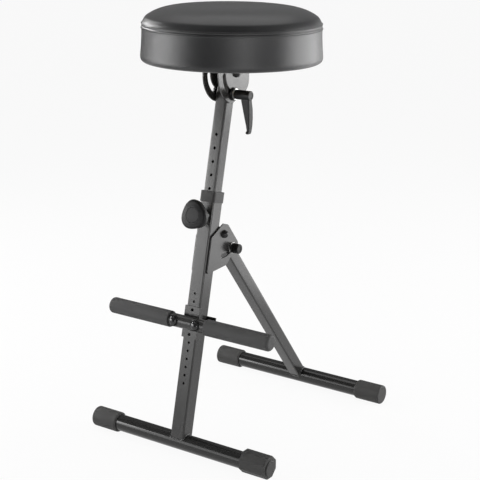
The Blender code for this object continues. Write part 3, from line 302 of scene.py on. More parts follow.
def named(name):
    """The piece that was just made, under its name."""
    piece = bpy.context.object
    piece.name = name
    piece.data.name = name
    return piece


def edit(piece):
    """Open one piece in edit mode with all of it selected."""
    only(piece)
    bpy.ops.object.mode_set(mode='EDIT')
    bpy.ops.mesh.select_mode(type='VERT')
    bpy.ops.mesh.select_all(action='SELECT')


def pick(piece, kind, test):
    """Select the points, edges or faces of a piece in edit mode that pass a test."""
    bpy.ops.mesh.select_mode(type={'verts': 'VERT', 'edges': 'EDGE', 'faces': 'FACE'}[kind])
    bpy.ops.mesh.select_all(action='DESELECT')
    shape = bmesh.from_edit_mesh(piece.data)
    for item in getattr(shape, kind):
        item.select_set(test(item))
    shape.select_flush_mode()
    bmesh.update_edit_mesh(piece.data)


def apply(piece, kind, **settings):
    """Add a modifier to a piece and apply it."""
    only(piece)
    step = piece.modifiers.new(kind.lower(), kind)
    for name, value in settings.items():
        setattr(step, name, value)
    bpy.ops.object.modifier_apply(modifier=step.name)


def smooth(piece, angle=40.0):
    """Smooth the round faces, and let each flat face keep its own normal up to its eased edges."""
    only(piece)
    bpy.ops.object.shade_smooth_by_angle(angle=radians(angle))
    apply(piece, 'WEIGHTED_NORMAL', mode='FACE_AREA', weight=100, keep_sharp=True)


def settle(piece, place=(0.0, 0.0, 0.0), turn=(0.0, 0.0, 0.0)):
    """Turn and move a piece to its place, and put that place into its mesh."""
    only(piece)
    piece.matrix_world = Matrix.Translation(place) @ Euler(turn).to_matrix().to_4x4()
    bpy.ops.object.transform_apply(location=True, rotation=True, scale=True)


def turned(name, profile, steps=64):
    """Lathe work: a line of points drawn by extruding one point along a profile, spun about Z."""
    clear()
    bpy.ops.mesh.primitive_plane_add(size=0.001, enter_editmode=True)
    piece = named(name)
    bpy.ops.mesh.select_mode(type='VERT')
    bpy.ops.mesh.select_all(action='SELECT')
    bpy.ops.mesh.merge(type='CENTER')
    bpy.ops.transform.translate(value=(profile[0][0], 0.0, profile[0][1]))
    for (radius, height), (last_radius, last_height) in zip(profile[1:], profile):
        shift = (radius - last_radius, 0.0, height - last_height)
        bpy.ops.mesh.extrude_region_move(TRANSFORM_OT_translate={"value": shift})
    bpy.ops.mesh.select_all(action='SELECT')
    bpy.ops.mesh.spin(steps=steps, angle=2 * pi, center=(0.0, 0.0, 0.0), axis=(0.0, 0.0, 1.0))
    bpy.ops.mesh.select_all(action='SELECT')
    bpy.ops.mesh.remove_doubles(threshold=MERGE_REACH)
    bpy.ops.mesh.normals_make_consistent(inside=False)
    clear()
    return piece


def corner(centre, radius, start, end, steps=4):
    """Points on a rounded corner of a lathe profile."""
    angles = [start + (end - start) * step / steps for step in range(steps + 1)]
    return [(centre[0] + radius * cos(angle), centre[1] + radius * sin(angle)) for angle in angles]


def fitted(piece, body, slot, material, *nodes):
    """Give a piece its finish, and let it stand for CAD nodes on their body."""
    piece.data.materials.clear()
    piece.data.materials.append(material)
    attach(piece, body)
    if nodes:
        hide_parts(*nodes)
    return piece


def foot_bar(name):
    """A length of round tube with eased ends."""
    half = FOOT_BAR_LENGTH / 2
    rim = FOOT_RADIUS - BAR_EDGE
    profile = [(FOOT_BORE, half), *corner((rim, half - BAR_EDGE), BAR_EDGE, pi / 2, 0.0, 2),
               *corner((rim, BAR_EDGE - half), BAR_EDGE, 0.0, -pi / 2, 2), (FOOT_BORE, -half),
               (FOOT_BORE, half)]
    piece = turned(name, profile, ROUND_STEPS)
    smooth(piece)
    return piece


front_bar = foot_bar("front_foot_bar")
settle(front_bar, FOOT_PLACE, TO_RIGHT)
fitted(front_bar, "frame", "powder_coat", SHADED_BAR_COAT, "front_foot_tube")


# Outer tube: a square steel tube that leans back from the front foot bar, coped to sit on it and welded
# round the joint. Twelve holes for the footrest run up its front, with the locking pin's hole above.

LEG_LEAN = radians(12.3)
LEG_TURN = (-LEG_LEAN, 0.0, 0.0)
OUTER_SIDE = 0.030
TUBE_WALL = 0.002
TUBE_CORNER = 0.003
TUBE_EDGE = 0.0003
OUTER_TOP = 0.470
FRONT_WALL = -OUTER_SIDE / 2
COPE_CLEARANCE = 0.0003
FIRST_STEP = 0.113
STEP_PITCH = 0.0155
STEP_COUNT = 12
STEP_HOLES = [FIRST_STEP + STEP_PITCH * index for index in range(STEP_COUNT)]
STEP_HOLE_RADIUS = 0.0025
PIN_HEIGHT = 0.430
PIN_HOLE_RADIUS = 0.0043
HOLE_DEPTH = 0.010
BEAD_RADIUS = 0.0017
BEAD_LIFT = 0.2
BEAD_VOXEL = 0.0007
BEAD_RIPPLE = 0.0009
RIPPLE_SIZE = 0.004


def square_tube(name, side, bottom, top):
    """A cube drawn out to a tube: its long edges are rounded, its ends opened and its wall made thick."""
    clear()
    bpy.ops.mesh.primitive_cube_add(size=1.0, enter_editmode=True)
    piece = named(name)
    bpy.ops.transform.resize(value=(side, side, top - bottom), center_override=(0.0, 0.0, 0.0))
    bpy.ops.transform.translate(value=(0.0, 0.0, (top + bottom) / 2))
    pick(piece, 'edges', lambda edge: abs(edge.verts[0].co.z - edge.verts[1].co.z) > side)
    bpy.ops.mesh.bevel(offset=TUBE_CORNER, segments=5, affect='EDGES')
    pick(piece, 'faces', lambda face: abs(face.normal.z) > 0.9)
    bpy.ops.mesh.delete(type='ONLY_FACE')
    apply(piece, 'SOLIDIFY', thickness=TUBE_WALL, offset=-1.0)
    return piece


def drill(piece, places, radius, length, turn, steps=24):
    """Cut equal round holes along one direction."""
    clear()
    bits = []
    for place in places:
        bpy.ops.mesh.primitive_cylinder_add(vertices=steps, radius=radius, depth=length, location=place,
                                            rotation=turn)
        bits.append(bpy.context.object)
    clear()
    for bit in bits:
        bit.select_set(True)
    bpy.context.view_layer.objects.active = bits[0]
    if len(bits) > 1:
        bpy.ops.object.join()
    cutter = bpy.context.object
    apply(piece, 'BOOLEAN', operation='DIFFERENCE', object=cutter, solver='EXACT')
    bpy.data.objects.remove(cutter)


def ease(piece, width, segments=2, angle=38.0):
    """Round the sharp edges that cutting leaves."""
    apply(piece, 'BEVEL', width=width, segments=segments, limit_method='ANGLE', angle_limit=radians(angle),
          use_clamp_overlap=True)


outer = square_tube("outer_leg", OUTER_SIDE, 0.0, OUTER_TOP)
drill(outer, [(0.0, 0.0, 0.0)], FOOT_RADIUS + COPE_CLEARANCE, 2 * OUTER_SIDE, TO_RIGHT, 64)
drill(outer, [(0.0, FRONT_WALL, height) for height in STEP_HOLES], STEP_HOLE_RADIUS, HOLE_DEPTH, TO_FRONT)
drill(outer, [(0.0, FRONT_WALL, PIN_HEIGHT)], PIN_HOLE_RADIUS, HOLE_DEPTH, TO_FRONT)
ease(outer, TUBE_EDGE)
smooth(outer)
settle(outer, FOOT_PLACE, LEG_TURN)
fitted(outer, "frame", "powder_coat", POWDER_COAT, "outer_tube")


def cope_bead(name, side):
    """A fillet weld round a square tube that stands on a round bar: a path swept by a round section."""
    clear()
    half = side / 2
    bpy.ops.mesh.primitive_plane_add(size=side, enter_editmode=True)
    piece = named(name)
    pick(piece, 'verts', lambda point: True)
    bpy.ops.mesh.bevel(offset=TUBE_CORNER, segments=5, affect='VERTICES')
    bpy.ops.mesh.select_all(action='SELECT')
    bpy.ops.mesh.delete(type='ONLY_FACE')
    bpy.ops.mesh.select_all(action='SELECT')
    bpy.ops.mesh.subdivide(number_cuts=5)
    only(piece)
    for point in piece.data.vertices:
        point.co.z = sqrt(FOOT_RADIUS ** 2 - min(point.co.y ** 2, half ** 2)) + BEAD_RADIUS * BEAD_LIFT
    bpy.ops.object.convert(target='CURVE')
    piece.data.bevel_depth = BEAD_RADIUS
    piece.data.bevel_resolution = 3
    bpy.ops.object.convert(target='MESH')
    apply(piece, 'REMESH', mode='VOXEL', voxel_size=BEAD_VOXEL)
    ripple = bpy.data.textures.new(name + "_ripple", 'CLOUDS')
    ripple.noise_scale = RIPPLE_SIZE
    apply(piece, 'DISPLACE', texture=ripple, strength=BEAD_RIPPLE, mid_level=0.5)
    smooth(piece, 60.0)
    return piece


front_bead = cope_bead("front_foot_weld", OUTER_SIDE)
settle(front_bead, FOOT_PLACE, LEG_TURN)
fitted(front_bead, "frame", "powder_coat", POWDER_COAT)


# Guide collar: a black moulded cap pressed over the outer tube's top, which the post slides through.
# Its crown closes in to the post with a small rounded lip.

BLACK_PLASTIC = skinned("black_plastic", (0.005, 0.005, 0.0055), (0.009, 0.009, 0.0095),
                        (0.034, 0.034, 0.035), (0.38, 0.50), 1500.0, 0.18, specular=0.24)
COLLAR_PLASTIC = skinned("collar_plastic", (0.024, 0.024, 0.024), (0.034, 0.033, 0.033),
                         (0.070, 0.070, 0.070), (0.42, 0.52), 1500.0, 0.18, specular=0.3)
COLLAR_EDGE = 0.0006
FLAT_ANGLE = 1.0


def dressed(node, edge, angle):
    """A CAD node's own shape with its seams merged, its edges eased and its round faces smoothed."""
    piece = bpy.data.objects.new(node + "_finished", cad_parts[node].data.copy())
    scene.collection.objects.link(piece)
    edit(piece)
    bpy.ops.mesh.remove_doubles(threshold=MERGE_REACH)
    bpy.ops.mesh.customdata_custom_splitnormals_clear()
    bpy.ops.mesh.dissolve_limited(angle_limit=radians(FLAT_ANGLE))
    clear()
    if edge > 0.0:
        ease(piece, edge, angle=angle)
    smooth(piece, angle)
    return piece


def worked(node, edge, body, slot, material, angle=40.0):
    """A dressed CAD node that takes the plain one's place."""
    return fitted(dressed(node, edge, angle), body, slot, material, node)


worked("guide_collar", COLLAR_EDGE, "frame", "black_plastic", COLLAR_PLASTIC)


# Hinge cheeks: two 3 mm steel plates welded to the outer tube's sides, with the fold pivot's hole and the
# lock's curved slot, sheared, eased and powder coated with the frame. The blackened bolts and nuts and the
# nylon spacers, in the fold's hinge and in the tilt's, are finished alike.

PLATE_EDGE = 0.0005
NUT_EDGE = 0.0006
BLACK_STEEL = skinned("black_steel", (0.006, 0.006, 0.0065), (0.012, 0.012, 0.0125), (0.09, 0.09, 0.09),
                      (0.28, 0.40), 1800.0, 0.15, specular=0.36)
NYLON = skinned("black_nylon", (0.026, 0.026, 0.027), (0.034, 0.034, 0.035), (0.05, 0.05, 0.05),
                (0.40, 0.55), 1500.0, 0.15)


def finish_node(name, material):
    """A CAD node whose shape is right keeps it, and gets its finish."""
    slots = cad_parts[name].data.materials
    slots.clear()
    slots.append(material)


for side in ("left", "right"):
    worked("hinge_cheek_" + side, PLATE_EDGE, "frame", "powder_coat", POWDER_COAT)
for name in ("hinge_spacer_left", "hinge_spacer_right", "tilt_spacer_left", "tilt_spacer_right",
             "post_glide"):
    finish_node(name, NYLON)
for name, body in (("fold_pivot_bolt", "frame"), ("lock_bolt", "rear_leg"), ("tilt_pivot_bolt", "post"),
                   ("clamp_bolt", "post")):
    worked(name, 0.0, body, "black_steel", BLACK_STEEL)
for name, body in (("fold_pivot_nut", "frame"), ("tilt_pivot_nut", "post")):
    worked(name, NUT_EDGE, body, "black_steel", BLACK_STEEL)


# Rear leg and rear foot bar: a square tube with a round head that swings between the cheeks, welded to a
# round bar like the front one.

REAR_FOOT_PLACE = Vector((0.0, 0.210, 0.0195))
REAR_LEAN = radians(38.7634)
REAR_TURN = (REAR_LEAN, 0.0, 0.0)
REAR_SIDE = 0.025

worked("rear_leg_tube", TUBE_EDGE, "rear_leg", "powder_coat", POWDER_COAT)
rear_bar = foot_bar("rear_foot_bar")
settle(rear_bar, REAR_FOOT_PLACE, TO_RIGHT)
fitted(rear_bar, "rear_leg", "powder_coat", SHADED_BAR_COAT, "rear_foot_tube")
rear_bead = cope_bead("rear_foot_weld", REAR_SIDE)
settle(rear_bead, REAR_FOOT_PLACE, REAR_TURN)
fitted(rear_bead, "rear_leg", "powder_coat", POWDER_COAT)


# Foot caps: soft grey rubber cups pushed over the bars' ends. The front right one is an eight-sided cap
# bored off its centre, which is turned to take up an uneven floor.

GREY_RUBBER = skinned("grey_rubber", (0.034, 0.034, 0.033), (0.044, 0.043, 0.042), (0.12, 0.12, 0.118),
                      (0.55, 0.70), 1300.0, 0.35, specular=0.4)
CAP_RADIUS = 0.0195
CAP_LENGTH = 0.058
CAP_BORE = 0.0163
CAP_ROUND = 0.003
CAP_FLOOR = 0.004
CAP_DISH = 0.0004
CAP_START = 0.1455
LEVELLER_EDGE = 0.0004
LEVELLER_ANGLE = 30.0


def foot_cap(name, node, body, side, bar_place):
    """A cup with a dished end, lathed and pushed over one end of a foot bar."""
    lip = (CAP_RADIUS + CAP_BORE) / 2
    inside = CAP_LENGTH - CAP_FLOOR
    profile = [(0.0, CAP_LENGTH - CAP_DISH), (CAP_RADIUS * 0.55, CAP_LENGTH - CAP_DISH / 2),
               *corner((CAP_RADIUS - CAP_ROUND, CAP_LENGTH - CAP_ROUND), CAP_ROUND, pi / 2, 0.0, 6),
               (CAP_RADIUS, CAP_ROUND + 0.0004), (CAP_RADIUS - 0.0002, CAP_ROUND - 0.0004), (lip, 0.0003),
               (lip - 0.0003, 0.0), (CAP_BORE, 0.0), (CAP_BORE, inside), (0.0, inside)]
    piece = turned(name, profile, ROUND_STEPS)
    smooth(piece)
    settle(piece, bar_place + Vector((side * CAP_START, 0.0, 0.0)), TO_RIGHT if side > 0 else TO_LEFT)
    fitted(piece, body, "grey_rubber", GREY_RUBBER, node)


foot_cap("front_cap_left", "front_foot_cap_left", "frame", -1, FOOT_PLACE)
foot_cap("rear_cap_left", "rear_foot_cap_left", "rear_leg", -1, REAR_FOOT_PLACE)
foot_cap("rear_cap_right", "rear_foot_cap_right", "rear_leg", 1, REAR_FOOT_PLACE)
worked("front_foot_leveller", LEVELLER_EDGE, "leveller", "grey_rubber", GREY_RUBBER, angle=LEVELLER_ANGLE)


# Fold lock: a bolt from the left through both slots and the rear leg, a zinc washer, and a black knob with
# fluted sides that is screwed tight by hand.

ZINC = skinned("zinc_plate", (0.50, 0.50, 0.49), (0.66, 0.66, 0.64), (0.72, 0.72, 0.71), (0.24, 0.38), 700.0,
               0.10, metallic=1.0, rub_and_highlight_amount=0.2)
WASHER_EDGE = 0.0003
LOCK_PLACE = Vector((0.0, -0.0710718, 0.3695437))
LOCK_BACK = 0.0205
LOCK_LENGTH = 0.0155
LOCK_KNOB_RADIUS = 0.0093
LOCK_FLANGE_RADIUS = 0.00975
LOCK_FLANGE = 0.0022
LOCK_BORE = 0.0042
LOCK_FLOOR = 0.003
LOCK_DISH = 0.0008
LOCK_RIBS = 18
LOCK_RIB_DEPTH = 0.0006


def ribbed_knob(name):
    """A turned knob whose side is drawn in between its ribs."""
    front = LOCK_LENGTH
    side = LOCK_KNOB_RADIUS
    rim = LOCK_FLANGE_RADIUS
    profile = [(0.0, front - LOCK_DISH), (0.0045, front - LOCK_DISH), (0.0050, front),
               (side - 0.0016, front), (side - 0.0004, front - 0.0007), (side, front - 0.0018),
               (side, LOCK_FLANGE + 0.0012), (side - 0.0012, LOCK_FLANGE + 0.0004),
               (rim - 0.0004, LOCK_FLANGE), (rim, LOCK_FLANGE - 0.0004), (rim, 0.0003), (rim - 0.0003, 0.0),
               (LOCK_BORE, 0.0), (LOCK_BORE, front - LOCK_FLOOR), (0.0, front - LOCK_FLOOR)]
    piece = turned(name, profile, 6 * LOCK_RIBS)
    for point in piece.data.vertices:
        radius = hypot(point.co.x, point.co.y)
        if radius > side - LOCK_RIB_DEPTH and point.co.z > LOCK_FLANGE + 0.001:
            rib = 0.5 - 0.5 * cos(LOCK_RIBS * atan2(point.co.y, point.co.x))
            shrink = 1.0 - LOCK_RIB_DEPTH * rib ** 2 / radius
            point.co.x *= shrink
            point.co.y *= shrink
    smooth(piece, 35.0)
    settle(piece, LOCK_PLACE + Vector((LOCK_BACK, 0.0, 0.0)), TO_RIGHT)
    return piece


worked("lock_washer", WASHER_EDGE, "rear_leg", "zinc_plate", ZINC)
fitted(ribbed_knob("fold_lock_handle"), "fold_lock", "black_plastic", BLACK_PLASTIC, "fold_lock_knob")


# Post: the thinner square tube that slides in the outer one, with the pin's holes down its front and a round
# head that carries the seat. A nylon plug in its lower end, out of sight, guides it.

worked("inner_tube", TUBE_EDGE, "post", "powder_coat", POWDER_COAT)


# Height lock: a turned bush on the outer tube's front, a sprung zinc pin in it, and the large three-lobed
# black knob that pulls the pin. The round place on the knob's crown is left plain.

TURNED_EDGE = 0.0004
PIN_PLACE = Vector((0.0, -0.1183969, 0.4396296))
PIN_DIRECTION = Vector((0.0, -cos(LEG_LEAN), sin(LEG_LEAN)))
PIN_TURN = (pi / 2 - LEG_LEAN, 0.0, 0.0)
KNOB_BACK = 0.0341
KNOB_LENGTH = 0.0225
KNOB_RADIUS = 0.0270
KNOB_BOSS = 0.0165
KNOB_BORE = 0.0067
KNOB_BORE_DEPTH = 0.0142
KNOB_FLANK = 0.0052
KNOB_LOBES = 3
KNOB_LOBE_SHARE = 0.075
KNOB_LOBE_TURN = radians(14.0)
KNOB_DISC = 0.0140


def lobed_knob(name):
    """A turned knob drawn out into lobes: a flat face with a round disc, round flanks and a boss behind."""
    front = KNOB_LENGTH
    disc = KNOB_DISC
    flank_middle = (KNOB_RADIUS - KNOB_FLANK, front - 0.0013 - KNOB_FLANK)
    profile = [(0.0, front - 0.0003), (disc * 0.6, front - 0.0003), (disc - 0.0004, front - 0.0004),
               (disc, front - 0.0009), (disc + 0.0004, front - 0.0003), (disc + 0.0025, front - 0.0004),
               (KNOB_RADIUS - KNOB_FLANK - 0.0016, front - 0.0011),
               *corner(flank_middle, KNOB_FLANK, radians(80.0), radians(-8.0), 8),
               (KNOB_RADIUS - 0.0009, 0.0095), (KNOB_RADIUS - 0.0030, 0.0066),
               (KNOB_RADIUS - 0.0064, 0.0040), (KNOB_BOSS + 0.0008, 0.0022), (KNOB_BOSS, 0.0010),
               (KNOB_BOSS - 0.0008, 0.0), (KNOB_BORE, 0.0), (KNOB_BORE, KNOB_BORE_DEPTH),
               (0.0, KNOB_BORE_DEPTH)]
    piece = turned(name, profile, 96)
    for point in piece.data.vertices:
        radius = hypot(point.co.x, point.co.y)
        share = max(0.0, (radius - disc) / (KNOB_RADIUS - disc))
        lobe = cos(KNOB_LOBES * (atan2(point.co.y, point.co.x) - pi / 2 - KNOB_LOBE_TURN))
        grow = 1.0 + KNOB_LOBE_SHARE * lobe * min(share, 1.0)
        point.co.x *= grow
        point.co.y *= grow
    smooth(piece, 50.0)
    settle(piece, PIN_PLACE + PIN_DIRECTION * KNOB_BACK, PIN_TURN)
    return piece


worked("pin_bush", TURNED_EDGE, "frame", "powder_coat", POWDER_COAT)
finish_node("pin_spindle", ZINC)
coil = worked("pin_spring", 0.0, "frame", "zinc_plate", ZINC)
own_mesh(coil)
fitted(lobed_knob("height_lock_knob"), "pin_knob", "black_plastic", BLACK_PLASTIC, "height_knob")


# Footrest: a round tube with two foam grips, held against a folded channel on the outer tube by two
# round-headed bolts that reach a clamp plate behind it.

GLOSS_BLACK = skinned("polished_black", (0.012, 0.012, 0.013), (0.018, 0.018, 0.019), (0.10, 0.10, 0.10),
                      (0.10, 0.16), 1800.0, 0.05, rub_and_highlight_amount=0.2)
GRIP_FOAM = skinned("grip_foam", (0.052, 0.052, 0.052), (0.066, 0.066, 0.066), (0.12, 0.12, 0.12),
                    (0.62, 0.75), 1400.0, 0.5, specular=0.35)
LEG_DIRECTION = Vector((0.0, sin(LEG_LEAN), cos(LEG_LEAN)))
REST_ALONG = -0.2007
REST_OUT = 0.0291
REST_PLACE = PIN_PLACE + PIN_DIRECTION * REST_OUT + LEG_DIRECTION * REST_ALONG
GRIP_RADIUS = 0.0154
GRIP_LENGTH = 0.142
GRIP_BORE = 0.0127
GRIP_ROUND = 0.0055
GRIP_LIP = 0.0016
GRIP_FLOOR = 0.0042
GRIP_STARTS = {"left": -0.035, "right": 0.045}
BOLT_SIDES = {"left": -0.0228, "right": 0.0268}
BOLT_SHANK = 0.0039
BOLT_TAIL = -0.0251
BOLT_SKIRT = 0.0360
BOLT_COLLAR = 0.0416
BOLT_TOP = 0.0471
BOLT_CHAMFER = 0.0006
HEAD_SINK = 0.0006
DOME_START = 0.0008
DOME_STEPS = 8
BOLT_STEPS = 48
SADDLE_CLEARANCE = 0.0002
REST_NUT_EDGE = 0.0005
FOLDED_EDGE = 0.0004
COLLAR_RADIUS = 0.0105
DOME_RADIUS = 0.0083


def foam_grip(name):
    """A foam sleeve with a soft lip at the tube and a rounded, closed outer end."""
    end = GRIP_LENGTH
    inside = end - GRIP_FLOOR
    profile = [(0.0, end - 0.0003), (0.0060, end),
               *corner((GRIP_RADIUS - GRIP_ROUND, end - GRIP_ROUND), GRIP_ROUND, pi / 2, 0.0, 7),
               *corner((GRIP_RADIUS - GRIP_LIP, GRIP_LIP), GRIP_LIP, 0.0, -pi / 2, 4),
               (GRIP_BORE, 0.0), (GRIP_BORE, inside), (0.0, inside)]
    piece = turned(name, profile, ROUND_STEPS)
    smooth(piece)
    return piece


def rest_bolt(name):
    """A long bolt with a polished dome, drawn from its tail up."""
    rise = BOLT_TOP - BOLT_COLLAR - DOME_START
    dome = [(DOME_RADIUS * sin(angle), BOLT_COLLAR + DOME_START + rise * cos(angle))
            for angle in [pi / 2 * step / DOME_STEPS for step in range(DOME_STEPS + 1)]]
    profile = [*dome, (DOME_RADIUS, BOLT_COLLAR - HEAD_SINK), (BOLT_SHANK, BOLT_COLLAR - HEAD_SINK),
               (BOLT_SHANK, BOLT_TAIL + BOLT_CHAMFER), (BOLT_SHANK - BOLT_CHAMFER, BOLT_TAIL),
               (0.0, BOLT_TAIL)]
    piece = turned(name, profile, BOLT_STEPS)
    smooth(piece)
    return piece


def bolt_saddle(name):
    """The moulded collar between a bolt's dome and the tube, with its rim standing round the dome."""
    bore = BOLT_SHANK + SADDLE_CLEARANCE
    seat = BOLT_COLLAR - HEAD_SINK - SADDLE_CLEARANCE
    profile = [(bore, seat), (DOME_RADIUS + 0.0003, seat), (DOME_RADIUS + 0.0004, BOLT_COLLAR + 0.0004),
               (DOME_RADIUS + 0.0009, BOLT_COLLAR + 0.0009), (COLLAR_RADIUS - 0.0006, BOLT_COLLAR + 0.0006),
               (COLLAR_RADIUS, BOLT_COLLAR - 0.0004), (COLLAR_RADIUS, BOLT_SKIRT), (bore, BOLT_SKIRT),
               (bore, seat)]
    piece = turned(name, profile, BOLT_STEPS)
    smooth(piece)
    return piece


worked("footrest_tube", 0.0, "footrest", "powder_coat", POWDER_COAT)
for side, outward in (("left", TO_LEFT), ("right", TO_RIGHT)):
    grip = foam_grip("foam_grip_" + side)
    settle(grip, REST_PLACE + Vector((GRIP_STARTS[side], 0.0, 0.0)), outward)
    fitted(grip, "footrest", "grey_rubber", GRIP_FOAM, "footrest_grip_" + side)
    at_bolt = REST_PLACE - PIN_DIRECTION * REST_OUT + Vector((BOLT_SIDES[side], 0.0, 0.0))
    bolt = rest_bolt("rest_bolt_" + side)
    settle(bolt, at_bolt, PIN_TURN)
    fitted(bolt, "footrest", "black_plastic", GLOSS_BLACK, "footrest_bolt_" + side)
    saddle = bolt_saddle("rest_saddle_" + side)
    settle(saddle, at_bolt, PIN_TURN)
    fitted(saddle, "footrest", "black_plastic", BLACK_PLASTIC)
    worked("footrest_nut_" + side, REST_NUT_EDGE, "footrest", "zinc_plate", ZINC)
worked("footrest_channel", FOLDED_EDGE, "footrest", "powder_coat", POWDER_COAT)
worked("footrest_clamp_plate", PLATE_EDGE, "footrest", "powder_coat", POWDER_COAT)


# Tilt head: a bracket of plate with two slotted cheeks under the seat, a pivot bolt, and the clamp bolt with
# its spacer, washer and black lever.

CLAMP_PLACE = Vector((0.0, -0.0700390, 0.6614189))
HUB_BACK = 0.0239
HUB_END = 0.0562
HUB_RADIUS = 0.0088
HUB_BORE = 0.0044
HUB_FLOOR = 0.0512
HUB_ROUND = 0.0012
HUB_DISH = 0.0006
HUB_STEPS = 64
BORE_OVERRUN = 0.004
CUT_REACH = 0.000002
LEVER_START = 0.004
LEVER_ROUND = 0.0021
LEVER_SECTIONS = ((0.0455, 0.0000, 0.0000, 0.0185, 0.0110), (0.0467, 0.0000, -0.0110, 0.0172, 0.0112),
                  (0.0483, 0.0016, -0.0250, 0.0146, 0.0130), (0.0502, 0.0021, -0.0410, 0.0110, 0.0134),
                  (0.0520, 0.0016, -0.0550, 0.0072, 0.0126), (0.0527, 0.0006, -0.0640, 0.0054, 0.0108),
                  (0.0520, -0.0012, -0.0680, 0.0066, 0.0118), (0.0522, -0.0010, -0.0705, 0.0048, 0.0090))


def drawn_lever(name):
    """A handle whose sections are each extruded from the last, joined to a turned hub that is then bored."""
    clear()
    x, y, z, width, depth = LEVER_SECTIONS[0]
    bpy.ops.mesh.primitive_cube_add(size=1.0, location=(x, y, z), enter_editmode=True)
    piece = named(name)
    bpy.ops.transform.resize(value=(width, depth, LEVER_START), center_override=(x, y, z))
    pick(piece, 'faces', lambda face: face.normal.z < -0.9)
    bpy.ops.transform.translate(value=(0.0, 0.0, LEVER_START / 2))
    for (x, y, z, width, depth), last in zip(LEVER_SECTIONS[1:], LEVER_SECTIONS):
        shift = (x - last[0], y - last[1], z - last[2])
        bpy.ops.mesh.extrude_region_move(TRANSFORM_OT_translate={"value": shift})
        bpy.ops.transform.resize(value=(width / last[3], depth / last[4], 1.0), center_override=(x, y, z))
    settle(piece, piece.location)
    ease(piece, LEVER_ROUND, 4, 45.0)
    edit(piece)
    bpy.ops.mesh.remove_doubles(threshold=MERGE_REACH)
    bpy.ops.mesh.dissolve_degenerate(threshold=MERGE_REACH)
    profile = [(0.0, HUB_END - HUB_DISH), (0.0052, HUB_END - HUB_DISH), (0.0056, HUB_END),
               *corner((HUB_RADIUS - HUB_ROUND, HUB_END - HUB_ROUND), HUB_ROUND, pi / 2, 0.0, 4),
               (HUB_RADIUS, HUB_BACK + 0.0006), (HUB_RADIUS - 0.0006, HUB_BACK), (0.0, HUB_BACK)]
    hub = turned("lever_hub", profile, HUB_STEPS)
    settle(hub, turn=TO_RIGHT)
    apply(piece, 'BOOLEAN', operation='UNION', object=hub, solver='EXACT')
    bpy.data.objects.remove(hub)
    bore_middle = (HUB_BACK + HUB_FLOOR) / 2 - BORE_OVERRUN / 2
    bore_length = HUB_FLOOR - HUB_BACK + BORE_OVERRUN
    drill(piece, [(bore_middle, 0.0, 0.0)], HUB_BORE, bore_length, TO_RIGHT, HUB_STEPS)
    edit(piece)
    bpy.ops.mesh.remove_doubles(threshold=CUT_REACH)
    smooth(piece, 35.0)
    settle(piece, CLAMP_PLACE)
    return piece


worked("seat_bracket", FOLDED_EDGE, "seat", "powder_coat", POWDER_COAT)
worked("clamp_spacer", TURNED_EDGE, "post", "black_plastic", BLACK_PLASTIC)
worked("clamp_washer", WASHER_EDGE, "post", "zinc_plate", ZINC)
fitted(drawn_lever("tilt_handle"), "tilt_lever", "black_plastic", BLACK_PLASTIC, "clamp_lever")


# Seat board: a round of plywood let into the pad's underside, with four zinc screws from the bracket. Its
# sanded veneer is bare, as only the underside shows it.


def sawn_plywood():
    """A sanded veneer: wavering growth lines along the board, short dark pores and a slow drift of tone."""
    made, tree, shader = blank("plywood")
    place = put(tree, "TexCoord").outputs["Object"]
    along = put(tree, "Mapping", {"Vector": place, "Scale": (3.0, 26.0, 26.0)})
    lines = put(tree, "TexWave", {"Vector": along.outputs[0], "Scale": 1.1, "Distortion": 7.0,
                                  "Detail": 3.0}, bands_direction='Y')
    thin = put(tree, "Mapping", {"Vector": place, "Scale": (60.0, 1400.0, 1400.0)})
    pores = put(tree, "TexNoise", {"Vector": thin.outputs[0], "Scale": 1.0, "Detail": 2.0})
    pits = put(tree, "MapRange", {"Value": pores.outputs["Fac"], "From Min": 0.58, "From Max": 0.72})
    skin = use(tree, SKIN_GRAIN, {"Scale": 900.0, "Drift Scale": 7.0})
    veneer = put(tree, "Mix", {"Factor": lines.outputs["Fac"], "A": (0.56, 0.40, 0.23, 1.0),
                               "B": (0.44, 0.29, 0.15, 1.0)}, data_type='RGBA')
    toned = put(tree, "Mix", {"Factor": skin["Drift"], "A": veneer.outputs["Result"],
                              "B": (0.60, 0.44, 0.27, 1.0)}, data_type='RGBA')
    pored = put(tree, "Mix", {"Factor": pits.outputs[0], "A": toned.outputs["Result"],
                              "B": (0.25, 0.15, 0.07, 1.0)}, data_type='RGBA')
    gloss = put(tree, "MapRange", {"Value": skin["Height"], "To Min": 0.55, "To Max": 0.75})
    relief = put(tree, "Bump", {"Strength": 0.3, "Distance": 0.0003, "Height": pits.outputs[0]}, invert=True)
    wire(tree, shader, pored, gloss, relief)
    return made


finish_node("seat_board", sawn_plywood())
for index in range(1, 5):
    worked(f"seat_screw_{index}", 0.0, "seat", "zinc_plate", ZINC)


# Seat pad: a round of foam under a black leatherette cover. The cover is a round top panel sewn to a side
# band that is drawn down over the board, so it is tight as a drum and only swells a little from its seams.

